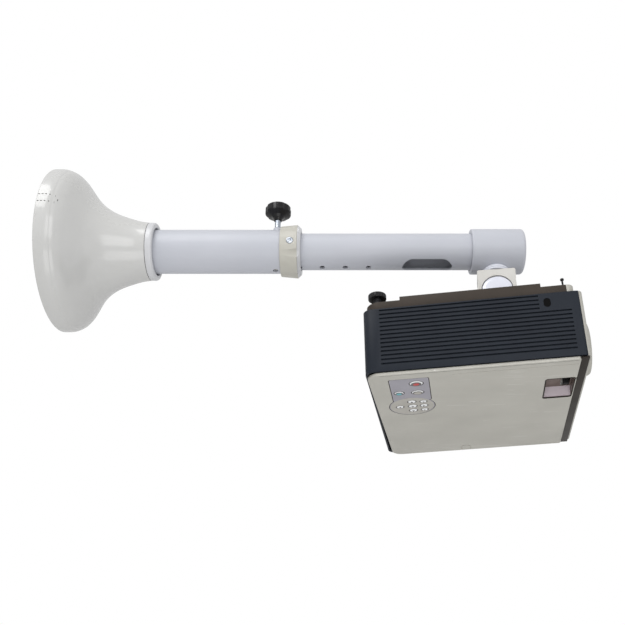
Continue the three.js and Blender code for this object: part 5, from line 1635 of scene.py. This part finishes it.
@dataclass
class Studio:
    """The floor, the lights and the camera."""

    floor_z: float = -1.0
    above: float = 0.92
    below: float = 0.66
    camera_at: Point = (0.3990, -0.9686, -0.6134)
    camera_pitch: float = 113.43
    lens: float = 47.34
    shift: tuple[float, float] = (-0.0638, 0.1094)

    def build(self) -> None:
        """Sets up everything that isn't part of the object."""
        self.floor()
        self.world()
        self.light("key_softbox", (-0.6, -1.4, 1.6), (0.2, 0, 0), 1.4, 24)
        self.light("front_softbox", (0.9, -1.7, 0.1), (0.5, 0, -0.1), 1.0, 6)
        self.light("low_softbox", (0.5, -0.7, -0.9), (0.5, 0, -0.2), 0.9, 3.5)
        self.camera()
        bpy.context.scene.view_settings.view_transform = "Standard"

    def floor(self) -> None:
        """A pale floor well below the arm."""
        bpy.ops.mesh.primitive_plane_add(size=12, location=(0, 0, self.floor_z))
        plane = bpy.context.object
        plane.name = "studio_floor"
        paint = Finish("studio_floor_paint", srgb(240, 240, 240), srgb(236, 236, 236), 0.8, 0.05, cloud=0.8)
        plane.data.materials.append(paint.build())

    def world(self) -> None:
        """A surround that looks white and lights the object more from above than from below."""
        world = bpy.data.worlds.new("studio_surround")
        world.use_nodes = True
        nodes, links = world.node_tree.nodes, world.node_tree.links
        seen = nodes["Background"]
        seen.inputs["Color"].default_value = (1, 1, 1, 1)
        lit = nodes.new("ShaderNodeBackground")
        split = nodes.new("ShaderNodeSeparateXYZ")
        links.new(nodes.new("ShaderNodeTexCoord").outputs["Generated"], split.inputs[0])
        grade = nodes.new("ShaderNodeMapRange")
        links.new(split.outputs["Z"], grade.inputs["Value"])
        for end, height, strength in (("Min", -1.0, self.below), ("Max", 1.0, self.above)):
            grade.inputs[f"From {end}"].default_value = height
            grade.inputs[f"To {end}"].default_value = strength
        links.new(grade.outputs["Result"], lit.inputs["Strength"])
        either = nodes.new("ShaderNodeMixShader")
        links.new(nodes.new("ShaderNodeLightPath").outputs["Is Camera Ray"], either.inputs["Fac"])
        links.new(lit.outputs[0], either.inputs[1])
        links.new(seen.outputs[0], either.inputs[2])
        links.new(either.outputs[0], nodes["World Output"].inputs["Surface"])
        bpy.context.scene.world = world

    def light(self, name: str, place: Point, target: Point, size: float, power: float) -> None:
        """A square soft light aimed at a target."""
        bpy.ops.object.light_add(type="AREA", location=place)
        lamp = bpy.context.object
        lamp.name = name
        lamp.data.size = size
        lamp.data.energy = power
        lamp.rotation_euler = (Vector(target) - Vector(place)).to_track_quat("-Z", "Y").to_euler()

    def camera(self) -> None:
        """The camera, below the arm and looking up at it."""
        bpy.ops.object.camera_add(location=self.camera_at, rotation=(math.radians(self.camera_pitch), 0, 0))
        camera = bpy.context.object
        camera.data.lens = self.lens
        camera.data.sensor_width = 36
        camera.data.shift_x, camera.data.shift_y = self.shift
        camera.data.clip_start = 0.01
        bpy.context.scene.camera = camera


def main() -> None:
    """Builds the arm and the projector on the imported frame."""
    logging.basicConfig(level=logging.INFO, format="%(name)s: %(message)s")
    for assembly in (WallFixing(), BellCover(), TelescopicTubes(), ClampCollar(), ClampKnob(), TiltJoint(),
                     Hanger(), Casing(), KeyPad(), Lens(), Feet(), Insides()):
        assembly.build()
        LOG.info("%s: %d pieces", type(assembly).__name__, len(assembly.made))
    Studio().build()


if __name__ == "__main__":
    main()
